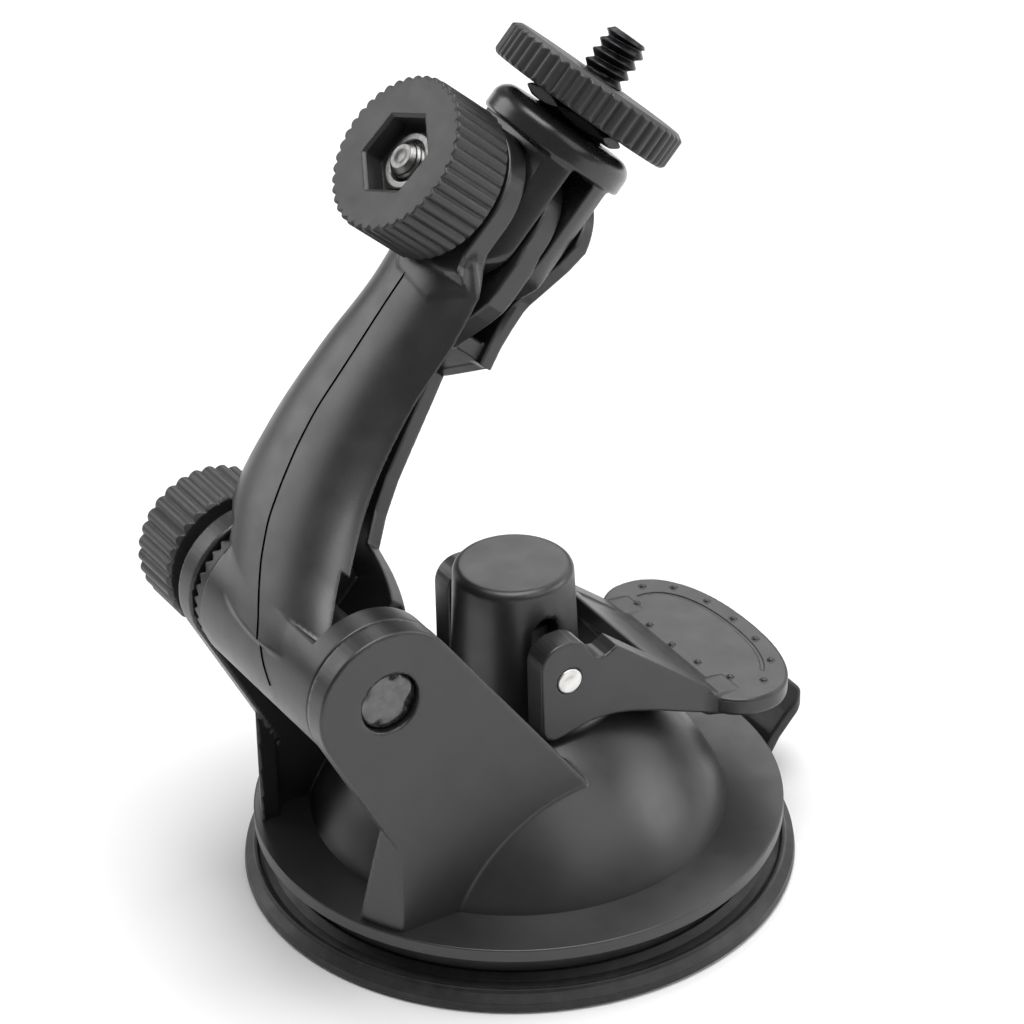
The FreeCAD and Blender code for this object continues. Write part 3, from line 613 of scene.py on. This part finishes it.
def ears_and_gussets(x, y, z):
    """Both ears, with the curved wall that stiffens each one's front edge."""
    side = polygon(y, z, EAR_OUTLINE)
    ears = both(both(side, EAR_X[0] - np.abs(x), 0.15), np.abs(x) - EAR_X[1], 0.38)
    lean = (GUSSET_IN[1] - GUSSET_IN[0]) / (GUSSET_TOP - RIM_Z[1])
    inner_edge = GUSSET_IN[0] + lean * (z - RIM_Z[1]) - np.abs(x)
    wall = slab(np.hypot(x, y), GUSSET_R - GUSSET_THICK, GUSSET_R)
    gusset = both(wall, both(inner_edge, y), 0.2)
    gusset = both(gusset, slab(z, RIM_Z[1] - 1, GUSSET_TOP))
    return either(ears, both(gusset, np.abs(x) - EAR_X[1], 0.3))


def housing(x, y, z):
    """Dome, tower, ears and the flat ring, hollow below; the ring's edge is a piece of its own."""
    r = np.hypot(x, y)
    sphere = np.hypot(r, z - DOME_CENTRE_Z) - DOME_R
    dome = both(sphere, z - LAND_Z, 0.3)
    rim = rectangle(r, z, (-RIM_R + 1.2, RIM_Z[0]), (RIM_R - 1.2, RIM_Z[1] - 0.6))
    shell = either(either(dome, rim), tower(r, z), 0.8)
    shell = either(shell, ears_and_gussets(x, y, z), 0.3)
    hollow = both(sphere + WALL, z - (LAND_Z - WALL))
    under = both(r - (SKIRT_R - 2.5), z - (RIM_Z[1] - WALL))
    bore = both(r - TOWER_BORE_R, z - (TOWER_TOP - WALL))
    shell = less(shell, either(either(hollow, under), bore))
    slot_top = SLOT[2] - SLOT[0]
    pin_slot = rectangle(y, z, (-SLOT[0], SLOT[1]), (SLOT[0], slot_top))
    pin_slot = either(pin_slot, np.hypot(y, z - slot_top) - SLOT[0])
    shell = less(shell, both(pin_slot, np.abs(x) - 12), 0.2)
    pivot = np.hypot(y - PIVOT_Y, z - PIVOT_Z)
    shell = less(shell, pivot - BOLT_R - 0.1)
    seat = both(pivot - RECESS[0], EAR_X[1] - RECESS[1] - x)
    return less(shell, seat, 0.18)


carve("housing_shell", housing, (-36, -40, 6), (36, 36, 54.9), 0.4,
      ROW, "base", "housing_plastic", housing_plastic, ["base_housing"])
RIM_INNER_R = DOME_FOOT[0] - 1.5
SKIRT_INNER_R = SKIRT_R - 2.2
RIM_OUTLINE = [(RIM_INNER_R, RIM_Z[1] - WALL), (SKIRT_INNER_R, RIM_Z[1] - WALL), (SKIRT_INNER_R, SKIRT_BOTTOM),
               (SKIRT_R, SKIRT_BOTTOM), (SKIRT_R, RIM_Z[0]), (RIM_R, RIM_Z[0]), (RIM_R, RIM_Z[1]),
               (RIM_INNER_R, RIM_Z[1])]
turned("housing_rim", RIM_OUTLINE, 0.22, 400, ROW, "base", "housing_plastic", housing_plastic)

# ---- suction cup ---------------------------------------------------------------------------------

CUP_PROFILE = [(0.01, CUP_HOLLOW), (9, CUP_HOLLOW - 0.2), (22, 1.0), (25.5, 0.45), (26.0, 0.1), (26.5, 0.35),
               (29.5, 0), (CUP_R - 0.5, 0), (CUP_R, 0.5), (CUP_R - 0.15, 1.5), (LIP_R + 0.55, LIP_TOP - 0.45),
               (LIP_R + 0.3, LIP_TOP), (LIP_R - 0.1, LIP_TOP), (LIP_R - 0.35, LIP_TOP - 0.55),
               (LIP_R - 0.7, LIP_TOP - 0.5), (LIP_R - 1.6, LIP_TOP - 0.1), (SKIRT_R + 0.25, 3.7),
               (SKIRT_R + 0.1, SKIRT_BOTTOM - 0.06), (SKIRT_R - 2.6, SKIRT_BOTTOM - 0.06), (CUP_BOSS[0], 5.6),
               CUP_BOSS, (5.56, CUP_BOSS[1]), (5.56, 7.46), (10.06, 7.46), (10.06, 5.54), (0.01, 5.54)]
turned("cup_body", CUP_PROFILE, 0.18, 400, ROW, "base", "cup_rubber", cup_rubber, ["suction_cup"])


def release_tab(x, y, z):
    """Tab that curves up from the cup's edge and ends in rounded corners."""
    tab = both(polyline(y, z, TAB_PATH) - TAB_HALF_THICK, np.abs(x) - TAB_HALF_WIDTH, 0.5)
    end_y = TAB_PATH[-1][0]
    corner = np.hypot(np.maximum(np.abs(x) - TAB_HALF_WIDTH + 2.6, 0), np.maximum(y - end_y + 2.2, 0)) - 2.6
    tab = both(tab, corner, 0.3)
    return less(tab, np.hypot(x, y) - TAB_START_R)


carve("cup_tab", release_tab, (-5.2, 35, 1), (5.2, 45, 13), 0.22, ROW, "base", "cup_rubber", cup_rubber)

# ---- cam lever -----------------------------------------------------------------------------------

FORK_OUTLINE = ([(-4.2, 27.9)] + arc((-0.9, 37.0), 3.3, 180, 90, 8)
                + [(0.6, 40.3), (1.7, 39.9), (2.5, 39.2), (3.1, 38.2), (3.6, 37.4), (4.2, 36.8), (4.9, 36.5),
                   (5.6, 36.45), (6.4, 36.8), ARM_EDGE[0], (22.2, 25.3), (23.0, 24.0),
                   (26.0, PADDLE_Z - 0.4), (26.0, 21.6), (21.5, 21.6), (19.0, 22.6), (16.5, 23.6),
                   (14.2, 24.6), (11.9, 25.4), (9.9, 26.1), (8.0, 26.6), (6.4, 26.9), (4.8, 27.0),
                   (3.2, 26.95), (1.8, 26.75), (-0.4, 26.25), (-1.4, 26.0)]
                + arc(CAM_CENTRE, CAM_R, 270, 180, 8)[:-1])
BUMPS = ((-14.9, 1.3), (-12.5, 4.9), (-7.2, 6.9), (-1.5, 7.4), (4.4, 7.1), (10.0, 5.8),
         (13.8, 2.1), (10.9, -1.4), (5.6, -3.1), (0.1, -3.7), (-5.7, -3.5), (-11.4, -1.9))
GROOVE = (13.0, 6.2)


def above_dome(x, y, z, gap):
    """Distance to the dome grown by a gap."""
    return np.sqrt(x**2 + y**2 + (z - DOME_CENTRE_Z) ** 2) - DOME_R - gap


def lever_fork(x, y, z):
    """Both arms of the fork, and the web between them, whose front turns down in an arc about the pin."""
    fork = both(polygon(y, z, FORK_OUTLINE), slab(np.abs(x), *FORK_X), 0.35)
    (y0, z0), (y1, z1) = ARM_EDGE
    slope = (z1 - z0) / (y1 - y0)
    top = (z - (z0 + slope * (y - y0) - 0.15)) / math.hypot(1, slope)
    from_pin = np.hypot(y, z - PIN_Z)
    front = both(slab(from_pin, WEB_FRONT_R, WEB_FRONT_R + 1.8), both(WEB_FOOT_Z - z, -y), 0.4)
    web = either(both(slab(top, -1.9, 0), WEB_FRONT_R - from_pin), front, 0.8)
    web = both(both(web, top, 0.5), both(y - 25.0, np.abs(x) - FORK_X[0] - 0.5))
    body = either(fork, web, 0.25)
    v, h = turned_by(-PADDLE_TILT, y - PADDLE_Y, z - PADDLE_Z)
    plate = both(superellipse(x, v, *PADDLE_SIZE, PADDLE_POWER) + 0.12, slab(h, -PADDLE_THICK + 0.1, -0.12))
    body = either(body, plate, 1.3)
    body = less(body, both(above_dome(x, y, z, 0.5), 19.0 - y))
    return less(body, from_pin - PIN_R - 0.07, 0.15)


def paddle(x, v, h):
    """Oval plate seen in its own frame, h up from its top face: raised beads round a debossed arc."""
    edge = superellipse(x, v, *PADDLE_SIZE, PADDLE_POWER)
    plate = both(edge, slab(h, -PADDLE_THICK, 0), 0.5)
    trench = both(np.abs(superellipse(x, v, *GROOVE, PADDLE_POWER)) - 0.22, -0.35 - h)
    trench = both(trench, -0.7 + 0.166 * (x + 12.9) - v)
    plate = less(plate, trench, 0.05)
    for bx, bv in BUMPS:
        bead = np.sqrt((x - bx) ** 2 + (v - bv) ** 2 + (h + 0.08) ** 2) - 0.5
        plate = either(plate, bead, 0.06)
    y, z = turned_by(PADDLE_TILT, v, h)
    return less(plate, above_dome(x, PADDLE_Y + y, PADDLE_Z + z, 0.45), 0.2)


carve("lever_body", lever_fork, (-17.3, -4.5, 20.6), (17.3, 37.4, 40.8), 0.22,
      ROW, "lever", "lever_plastic", lever_plastic, ["cam_lever"])
tilt = Matrix.Rotation(PADDLE_TILT, 3, "X")
PADDLE = placed(EX, tilt @ EY, tilt @ EZ, Vector((0, PADDLE_Y * MM, PADDLE_Z * MM)))
carve("lever_paddle", paddle, (-17.3, -9.3, -2.7), (17.3, 9.3, 0.5), 0.15,
      PADDLE, "lever", "lever_plastic", lever_plastic)

# ---- arm -----------------------------------------------------------------------------------------

STATIONS = np.array(ARM_STATIONS)


def along_arm(l, column):
    """Smooth value of one station column at distance l along the arm."""
    at = STATIONS[:, 0]
    values = STATIONS[:, column]
    slopes = np.gradient(values, at)
    i = np.clip(np.searchsorted(at, l) - 1, 0, len(at) - 2)
    span = at[i + 1] - at[i]
    t = np.clip((l - at[i]) / span, 0, 1)
    a, b = values[i], values[i + 1]
    ma, mb = slopes[i] * span, slopes[i + 1] * span
    start = (2 * t**3 - 3 * t**2 + 1) * a + (t**3 - 2 * t**2 + t) * ma
    return start + (3 * t**2 - 2 * t**3) * b + (t**3 - t**2) * mb


def arm_section(x, u, l, inset):
    """The arm's outer oval at each place along it, or the oval a wall's thickness inside."""
    half_x = along_arm(l, 2) - inset
    half_u = along_arm(l, 3) - inset
    return superellipse(x - along_arm(l, 1), u - ARM_MID, half_x, half_u, ARM_POWER)


MOUTH = [(-16.9, 35.5), (-13.2, 21.0), (-11.4, 16.4), (-9.1, 12.4), (-4.0, 11.2), (3.0, 9.2), (16.0, 6.0),
         (30.0, 6.0), (30.0, 60.0), (-10.0, 60.0), (-10.0, 40.3)]
FLOOR = [(-27, 35.0), (-17.4, 35.2), (-10.0, 40.2), (-10.4, 42.4), (-17.6, 37.6), (-27, 37.4)]
CROWN_FROM = (-5, -5, 15)
PRONG_TAILS = (
    [(-24.2, 54.0), (-19.0, 47.5), (-16.0, 45.0), (-8.0, 44.0), (-4.6, 47.2), (-5.2, 48.4), (-5.9, 49.6),
     (-6.3, 51.0)],
    [(-23.5, 38.5), (-10.0, 40.0), (-8.2, 42.8), (-6.8, 45.4), (-5.9, 47.4), (-5.6, 49.4), (-5.5, 53.5)],
    [(-20.5, 39.0), (-8.9, 39.9), (-9.7, 43.3), (-10.1, 45.7), (-10.2, 48.6), (-9.3, 50.7), (-8.2, 53.5),
     (-7.1, 56.3)],
)


def prong(x, u, l, index):
    """One of the three plates at the arm's top: round about the pivot, with its own tail below."""
    start = PRONG_START + index * PRONG_STEP
    crown = arc((TOP_X, TOP_L), PRONG_R, CROWN_FROM[index], 165, 32)
    side = polygon(x, l, crown + PRONG_TAILS[index])
    return both(side, slab(u, start, start + PRONG_T[index]), 0.4)


def tongue_edge(x, l):
    """Below 0 inside the rounded foot of the arm's front face, in units of its half width."""
    return np.hypot((x - TONGUE[0]) / TONGUE[2], (l - TONGUE[1]) / TONGUE[3]) - 1


def arm_channel(x, u, l):
    """The curved channel, an oval tube open on the side that faces the row's +X, and the floor in it."""
    outer = arm_section(x, u, l, 0)
    kept = np.minimum(TONGUE[1] - l, tongue_edge(x, l) * TONGUE[3])
    crest = np.minimum(CREST_L[0] + CREST_SLOPE * np.maximum(CREST_X - x, 0), CREST_L[1])
    outer = both(both(outer, kept, 0.5), (l - crest) / math.hypot(1, CREST_SLOPE), 0.4)
    inner = arm_section(x, u, l, ARM_WALL)
    mouth = both(polygon(x, l, MOUTH), MOUTH_U - u)
    side = both(slab(u, *MOUTH_SIDE_U), both(MOUTH_SIDE[0] - x, slab(l, MOUTH_SIDE[1], MOUTH_SIDE_TOP)))
    shell = less(less(outer, both(inner, l - 60)), either(mouth, side), 0.3)
    floor = both(both(polygon(x, l, FLOOR), slab(u, *FLOOR_U)), outer + 0.4)
    return shell, floor


def arm_barrel(x, u, l):
    """Barrel round the lower pivot, with a window in its far half round a boss."""
    barrel = both(np.hypot(u, l) - BARREL_R, slab(x, *BARREL_X), 0.3)
    behind = both(slab(x, *BARREL_WINDOW), MOUTH_SIDE[1] - l)
    window = both(behind, both(u - MOUTH_SIDE_U[1], BARREL_BOSS_R - np.hypot(u, l)))
    return less(barrel, window, 0.2)


def without_prong_room(body, x, u, l):
    """The arm less the gaps that the head's prongs turn in."""
    for index in range(2):
        start = PRONG_START + PRONG_T[index] + index * PRONG_STEP
        gap = slab(u, start, start + PRONG_STEP - PRONG_T[index])
        room = both(np.hypot(x - TOP_X, l - TOP_L) - PRONG_R - 0.5, gap)
        body = less(body, room, 0.2)
    return body


def without_ear_room(body, x, u, l):
    """The arm less what the far ear passes through between the hinge's limits."""
    ear_room = both(np.hypot(u, l) - EAR_R - EAR_GAP, x + EAR_X[0] - 0.3)
    body = less(body, ear_room, 0.25)
    for lean in LEAN_LIMITS:
        y, z = turned_by(-math.radians(lean), u, l)
        swept = polygon(y + PIVOT_Y, z + PIVOT_Z, EAR_OUTLINE) - EAR_GAP
        body = less(body, both(swept, slab(x, -EAR_X[1] - 0.4, -EAR_X[0] + 0.3)), 0.25)
    return less(body, BARREL_X[1] - x)


def without_bores(body, x, u, l):
    """The arm less both bolts' holes, the ratchet ring's seat and the upper bolt head's recess."""
    body = less(body, np.hypot(u, l) - BOLT_R - 0.08)
    body = less(body, np.hypot(x - TOP_X, l - TOP_L) - BOLT_R - 0.08)
    far = PRONG_START + 2 * PRONG_STEP + PRONG_T[2]
    ratchet_room = both(np.hypot(u, l) - RATCHET_R[1] - 0.1, x - RATCHET_X[1])
    body = less(body, ratchet_room)
    return less(body, both(hexagon(x - TOP_X, l - TOP_L, NUT_FLATS + 0.1), far - 0.6 - u))


def arm(x, u, l):
    """The whole arm: channel, barrel, floor under the prongs, and the prongs."""
    shell, floor = arm_channel(x, u, l)
    body = either(shell, arm_barrel(x, u, l), 0.35)
    body = either(body, floor, 0.3)
    body = less(body, FAR_WALL_U + 0.4 * np.maximum(42 - l, 0) - u, 0.4)
    flush = arm_section(x, u, np.minimum(l, 50.0), 0) - 1.2 * np.maximum(l - 47.5, 0)
    body = either(body, both(prong(x, u, l, 0), flush, 0.3), 0.8)
    for index in (1, 2):
        body = either(body, prong(x, u, l, index), 0.4)
    body = without_prong_room(body, x, u, l)
    body = without_ear_room(body, x, u, l)
    return without_bores(body, x, u, l)


carve("arm_shell", arm, (-28, -10.5, -10.3), (16, 9, 67), 0.33,
      ARM, "arm", "arm_plastic", arm_plastic, ["arm"])


def arm_face(x, l):
    """Place of the arm's front surface, or of the barrel's where that stands proud."""
    reach = np.abs((x - along_arm(l, 1)) / along_arm(l, 2))
    shell = ARM_MID - along_arm(l, 3) * np.maximum(1 - reach**ARM_POWER, 0) ** (1 / ARM_POWER)
    tongue = tongue_edge(x, np.minimum(l, TONGUE[1])) < -0.03
    barrel = -np.sqrt(np.maximum(BARREL_R**2 - l**2, 0))
    return np.where(tongue, np.minimum(shell, barrel), barrel)


def seam_tube():
    """Thin bead along the mould's parting line, half sunk in the arm's front."""
    knots = np.array(SEAM)
    count = 160
    t = np.linspace(0, len(knots) - 1, count)
    x = np.interp(t, np.arange(len(knots)), knots[:, 0])
    l = np.interp(t, np.arange(len(knots)), knots[:, 1])
    window = np.hanning(17) / np.hanning(17).sum()
    x, l = [np.convolve(np.pad(v, 8, mode="edge"), window, "valid") for v in (x, l)]
    line = np.stack([x, arm_face(x, l), l], axis=1)
    ahead = unit(np.gradient(line, axis=0))
    sideways = unit(np.cross(ahead, (0, 1, 0)))
    upward = np.cross(sideways, ahead)
    angles = np.arange(8) * np.pi / 4
    spokes = np.cos(angles)[None, :, None] * sideways[:, None] + np.sin(angles)[None, :, None] * upward[:, None]
    points = (line[:, None] + SEAM_R * spokes).reshape(-1, 3)
    at = np.arange(count * 8).reshape(count, 8)
    quads = np.stack([at[:-1], np.roll(at, -1, axis=1)[:-1], np.roll(at, -1, axis=1)[1:], at[1:]], axis=2)
    return points, quads.reshape(-1, 4), spokes.reshape(-1, 3)


# The bead's near-black colour is painted shade along the parting line.
make_piece("arm_seam", *seam_tube(), ARM, "arm", "arm_plastic", seam_painted_shade)

# ---- knobs and fasteners -------------------------------------------------------------------------

LOWER_AT = placed(EZ, EY, -EX, lower_pivot + EX * LOWER_KNOB[0] * MM)
UPPER_AT = placed(EX, along, -across, upper_pivot + across * UPPER_KNOB[0] * MM)
UPPER_TURNED = UPPER_AT @ Matrix.Rotation(UPPER_TURN, 4, "Z")


def knob(spec):
    """Knob with its outer face at z = 0 and its body below."""
    _, length, radius, flutes, hub_r, hub_length = spec

    def shape(x, y, z):
        r = np.hypot(x, y)
        body = both(fluted(x, y, radius, FLUTE_DEPTH, flutes), slab(z, -length, 0), 0.22)
        body = both(body, (r - z - radius - length + 0.5) * 0.7)
        hub = both(r - hub_r, slab(z, -length - hub_length, -1), 0.2)
        recess = both(hexagon(x, y, RECESS_FLATS), -RECESS_DEPTH - z)
        bevel = hexagon(x, y, RECESS_FLATS + 0.5) - np.minimum(z, 0) * 0.9 - 0.1
        pocket = both(hexagon(x, y, NUT_FLATS + 0.1), -NUT_DEPTH - NUT_THICK - z)
        body = less(less(either(body, hub), recess, 0.12), pocket)
        body = less(body, both(bevel, -0.45 - z))
        return less(body, r - BOLT_R - 0.2)

    return shape


def nut(x, y, z):
    """Hexagonal nut whose face and bore are chamfered, seen from z above."""
    r = np.hypot(x, y)
    body = both(hexagon(x, y, NUT_FLATS), slab(z, -NUT_DEPTH - NUT_THICK, -NUT_DEPTH), 0.08)
    cone = (r - NUT_FLATS * 0.475) * 0.5 + (z + NUT_DEPTH) * 0.87
    sink = (r - BOLT_R - 0.55) * 0.7 - (z + NUT_DEPTH) * 0.7
    return less(less(both(body, cone, 0.06), sink), r - BOLT_R - 0.02)


def bolt_end(x, y, z, plain_from):
    """Threaded shank from z below, its end face chamfered, plain beyond plain_from."""
    r = np.hypot(x, y)
    thread = threaded(x, y, z, BOLT_R, BOLT_R - 0.42, BOLT_PITCH)
    shank = np.where(z > plain_from, thread, r - BOLT_R + 0.03)
    shank = both(shank, z + BOLT_END_DEPTH, 0.1)
    shank = both(shank, (r + z + BOLT_END_DEPTH - 1.7) * 0.7)
    dimple = np.hypot(r, z + BOLT_END_DEPTH - 3.2) - 3.38
    return less(shank, dimple, 0.05)


def lower_bolt(x, y, z):
    """Bolt whose round head, with an uneven domed face, sits in the near ear's recess."""
    seat = LOWER_KNOB[0] - EAR_X[1] + RECESS[1]
    height = seat - z
    r = np.hypot(x, y)
    shank = both(bolt_end(x, y, z, -12), seat - z)
    head = both(r - RECESS[0] + 0.2, slab(height, 0, 1.45), 0.4)
    crown = np.sqrt(r**2 + (height + 11.2) ** 2) - 12.75
    facets = 0.09 * np.sin(1.3 * x + 0.9 * y + 0.6) + 0.05 * np.sin(2.1 * y - 1.5 * x)
    head = both(head, crown + facets, 0.2)
    return either(shank, head)


def upper_bolt(x, y, z):
    """Bolt whose hexagonal head sits in the far prong."""
    seat = UPPER_KNOB[0] - PRONG_START - 2 * PRONG_STEP - PRONG_T[2] + 0.6
    r = np.hypot(x, y)
    shank = both(bolt_end(x, y, z, -12), seat - 0.5 - z)
    head = both(hexagon(x, y, NUT_FLATS), slab(z, seat - 3.0, seat), 0.08)
    cone = (r - NUT_FLATS * 0.475) * 0.5 - (z - seat + 3.0) * 0.87
    return either(shank, both(head, cone, 0.05))


def knob_pieces(label, spec, place, bolt_place, bolt, bolt_length, bolt_body, bolt_slot, bolt_material):
    """A knob with its nut, and the bolt that both turn on."""
    _, length, radius, _, _, hub_length = spec
    reach = radius + 0.1
    low = (-reach, -reach, -length - hub_length)
    carve(label + "_knob_body", knob(spec), low, (reach, reach, 0), 0.25,
          place, label + "_knob", "knob_plastic", knob_plastic, [label + "_knob"])
    corner = NUT_FLATS * 0.58
    low = (-corner, -corner, -NUT_DEPTH - NUT_THICK)
    carve(label + "_nut_body", nut, low, (corner, corner, -NUT_DEPTH), 0.14,
          place, label + "_knob", "nut_steel", bright_steel, [label + "_nut"])
    low = (-corner, -corner, -bolt_length)
    carve(label + "_bolt_body", bolt, low, (corner, corner, -BOLT_END_DEPTH), 0.15,
          bolt_place, bolt_body, bolt_slot, bolt_material, [label + "_bolt"])


knob_pieces("lower", LOWER_KNOB, LOWER_AT, LOWER_AT, lower_bolt, 49.1, "base", "bolt_black", head_steel)
knob_pieces("upper", UPPER_KNOB, UPPER_TURNED, UPPER_AT, upper_bolt, 30.6, "arm", "nut_steel", bright_steel)


def lever_pin(x, y, z):
    """Riveted pin, each end crowned round a shallow dimple."""
    r = np.hypot(y, z - PIN_Z)
    end = np.abs(x) - 13.9
    body = both(r - PIN_R, end, 0.25)
    return less(body, np.hypot(r, end - 2.6) - 2.72, 0.1)


carve("lever_pin_body", lever_pin, (-13.9, -1.8, 32.7), (13.9, 1.8, 36.3), 0.18,
      ROW, "stem", "pin_steel", pin_steel, ["lever_pin"])


def ratchet(x, u, l):
    """Ring with pointed radial teeth on its far face."""
    r = np.hypot(u, l)
    turn = np.arctan2(l, u) * RATCHET_TEETH / (2 * np.pi)
    rise = 1 - np.abs(2 * (turn - np.floor(turn)) - 1)
    top = RATCHET_X[0] - TOOTH_HEIGHT * np.clip(1.3 * rise - 0.15, 0, 1) * (r > RATCHET_R[0] + 1)
    ring = both(both(r - RATCHET_R[1], RATCHET_R[0] - r), x - RATCHET_X[1], 0.1)
    return both(ring, (top - x) * 0.6)


reach = RATCHET_R[1]
carve("ratchet_body", ratchet, (RATCHET_X[0] - TOOTH_HEIGHT, -reach, -reach), (RATCHET_X[1], reach, reach), 0.22,
      ARM, "arm", "ratchet_plastic", ratchet_plastic, ["ratchet_ring"])

# ---- head, camera screw and wheel ------------------------------------------------------------------


def head(x, u, z):
    """Two prongs under a thick round flange, with a neck above it and a seat for the screw's foot."""
    r = np.hypot(x, u)
    flange = both(r - FLANGE_R, slab(z, *FLANGE_Z), 0.5)
    shoulder = both(both(r - FLANGE_R, z - FLANGE_Z[1], 2.2), FLANGE_Z[0] - z, 0.4)
    neck = both(r - NECK_R, slab(z, FLANGE_Z[0], LOCK_NUT[1] - 0.05), 0.15)
    body = either(both(flange, shoulder), neck, 0.3)
    round_end = np.where(z < 0, np.hypot(x, z), np.abs(x)) - HEAD_PRONG_R
    for low, high in HEAD_PRONG_U:
        plate = both(both(round_end, r - FLANGE_R + 0.35, 0.3), z - FLANGE_Z[0] - 1)
        body = either(body, both(plate, slab(u, low, high), 0.35), 0.45)
    body = less(body, np.hypot(x, z) - BOLT_R - 0.08, 0.1)
    return less(body, both(hexagon(x, u, 9.0), slab(z, 11.8, 13.8)))


carve("head_body", head, (-10.5, -10.5, -10), (10.5, 10.5, 15.6), 0.28,
      HEAD, "head", "head_plastic", head_plastic, ["tripod_head"])


def screw(x, u, z):
    """Camera screw: moulded-in foot, core through the wheel and free threaded end with a dished tip."""
    r = np.hypot(x, u)
    foot = both(hexagon(x, u, 8.9), slab(z, SCREW_Z[0], SCREW_Z[0] + 2))
    core = both(r - SCREW_CORE_R + 0.03, slab(z, SCREW_Z[0], SCREW_Z[1] + 0.5))
    thread = threaded(x, u, z, SCREW_R, 2.36, THREAD_PITCH)
    free = both(both(thread, slab(z, SCREW_Z[1] - 0.6, SCREW_Z[2]), 0.08), (r + z - SCREW_Z[2] - 2.3) * 0.7, 0.06)
    free = less(free, np.hypot(r, z - SCREW_Z[2] - 2.2) - 2.75, 0.08)
    return either(either(foot, core), free)


carve("screw_body", screw, (-5.2, -5.2, SCREW_Z[0]), (5.2, 5.2, SCREW_Z[2]), 0.14,
      HEAD, "head", "bolt_black", black_steel, ["camera_screw"])


def lock_nut(x, u, z):
    """Hexagonal nut chamfered on both faces."""
    flats, low, high = LOCK_NUT
    r = np.hypot(x, u)
    body = both(hexagon(x, u, flats), slab(z, low, high), 0.15)
    body = both(body, (r - flats * 0.5) * 0.5 + (z - high) * 0.87 + 0.1)
    body = both(body, (r - flats * 0.5) * 0.5 - (z - low) * 0.87 + 0.1)
    return less(body, r - SCREW_CORE_R - 0.03)


# The lock nut's near-black colour is partly its own dark tone and partly painted shade under the wheel.
carve("lock_nut_body", lock_nut, (-7.5, -7.5, LOCK_NUT[1]), (7.5, 7.5, LOCK_NUT[2]), 0.2,
      HEAD, "wheel", "bolt_black", nut_black_and_shade, ["lock_nut"])


def wheel(x, u, z):
    """Ridged wheel with a bevelled top edge, hollow below round its hub."""
    low, high = WHEEL_Z
    r = np.hypot(x, u)
    body = both(fluted(x, u, WHEEL_R, 0.55, WHEEL_RIDGES), slab(z, low, high), 0.12)
    body = both(body, (r - WHEEL_R + 0.95) * 0.55 + (z - high) * 0.83, 0.1)
    body = both(body, (r - WHEEL_R + 0.45 + low - z) * 0.7, 0.1)
    hollow = both(rectangle(r, z, (WHEEL_HUB_R, low - 2), (WHEEL_R - WHEEL_WALL, low + WHEEL_HOLLOW)), low - 3 - z)
    body = less(body, hollow, 0.15)
    body = less(body, both(r - WHEEL_SINK[0], high - WHEEL_SINK[1] - z), 0.2)
    return less(body, r - SCREW_CORE_R - 0.05)


carve("wheel_body", wheel, (-13.5, -13.5, WHEEL_Z[0]), (13.5, 13.5, WHEEL_Z[1]), 0.24,
      HEAD, "wheel", "knob_plastic", knob_plastic, ["thumb_wheel"])

# ---- CAD nodes that stay as they are ---------------------------------------------------------------

for node, material in (("cup_stem", stem_plastic), ("return_spring", spring_steel),
                       ("lower_washer", washer_steel), ("upper_washer", washer_steel)):
    for material_slot in frame["nodes"][node].material_slots:
        material_slot.material = material

# ---- studio --------------------------------------------------------------------------------------

floor_mesh = bpy.data.meshes.new("floor")
floor_mesh.from_pydata([(-4, -4, 0), (4, -4, 0), (4, 4, 0), (-4, 4, 0)], [], [(0, 1, 2, 3)])
floor = bpy.data.objects.new("floor", floor_mesh)
bpy.context.scene.collection.objects.link(floor)
floor_material, nodes, links, shader = node_tree("floor_paper")
links.new(blend_colours(nodes, links, noise(nodes, links, 30, 3), (0.86, 0.86, 0.86), (0.9, 0.9, 0.9)),
          shader.inputs["Base Color"])
shader.inputs["Roughness"].default_value = 0.8
shader.inputs["Specular IOR Level"].default_value = 0.1
floor_mesh.materials.append(floor_material)


def softbox(name, at, aim, size, power):
    """Square area light that faces a point."""
    light = bpy.data.lights.new(name, "AREA")
    light.shape = "SQUARE"
    light.size = size
    light.energy = power
    lamp = bpy.data.objects.new(name, light)
    lamp.location = at
    lamp.rotation_euler = (Vector(aim) - Vector(at)).to_track_quat("-Z", "Y").to_euler()
    bpy.context.scene.collection.objects.link(lamp)


CENTRE = (-0.005, 0.0, 0.05)
softbox("overhead", (0, 0, 1.2), CENTRE, 0.9, 13)
softbox("behind_left", (-0.8, 0.6, 0.8), CENTRE, 0.8, 4)
softbox("behind", (-0.2, 1.0, 0.6), CENTRE, 0.7, 2)
softbox("behind_right", (0.5, 1.0, 0.5), CENTRE, 0.6, 4)
softbox("right", (0.9, 0.3, 0.8), CENTRE, 0.8, 3)
softbox("left", (-0.9, -0.5, 0.5), CENTRE, 0.6, 3)

world = bpy.data.worlds.new("studio")
world.use_nodes = True
world.node_tree.nodes["Background"].inputs["Color"].default_value = (1, 1, 1, 1)
world.node_tree.nodes["Background"].inputs["Strength"].default_value = 0.15
bpy.context.scene.world = world
bpy.context.scene.view_settings.view_transform = "Standard"

# ---- camera --------------------------------------------------------------------------------------

CAMERA_AT = Vector((0.45185, -0.26916, 0.37236))
CAMERA_AIM = Vector((-0.00460, 0.00279, 0.05000))
CAMERA_ROLL = math.radians(-1.38)
camera_data = bpy.data.cameras.new("camera")
camera_data.lens = 166.4
camera_data.sensor_width = 36
camera_data.clip_start = 0.05
camera_data.clip_end = 20
camera = bpy.data.objects.new("camera", camera_data)
facing = (CAMERA_AIM - CAMERA_AT).to_track_quat("-Z", "Y").to_matrix()
camera.matrix_world = Matrix.Translation(CAMERA_AT) @ (facing @ Matrix.Rotation(CAMERA_ROLL, 3, "Z")).to_4x4()
bpy.context.scene.collection.objects.link(camera)
bpy.context.scene.camera = camera
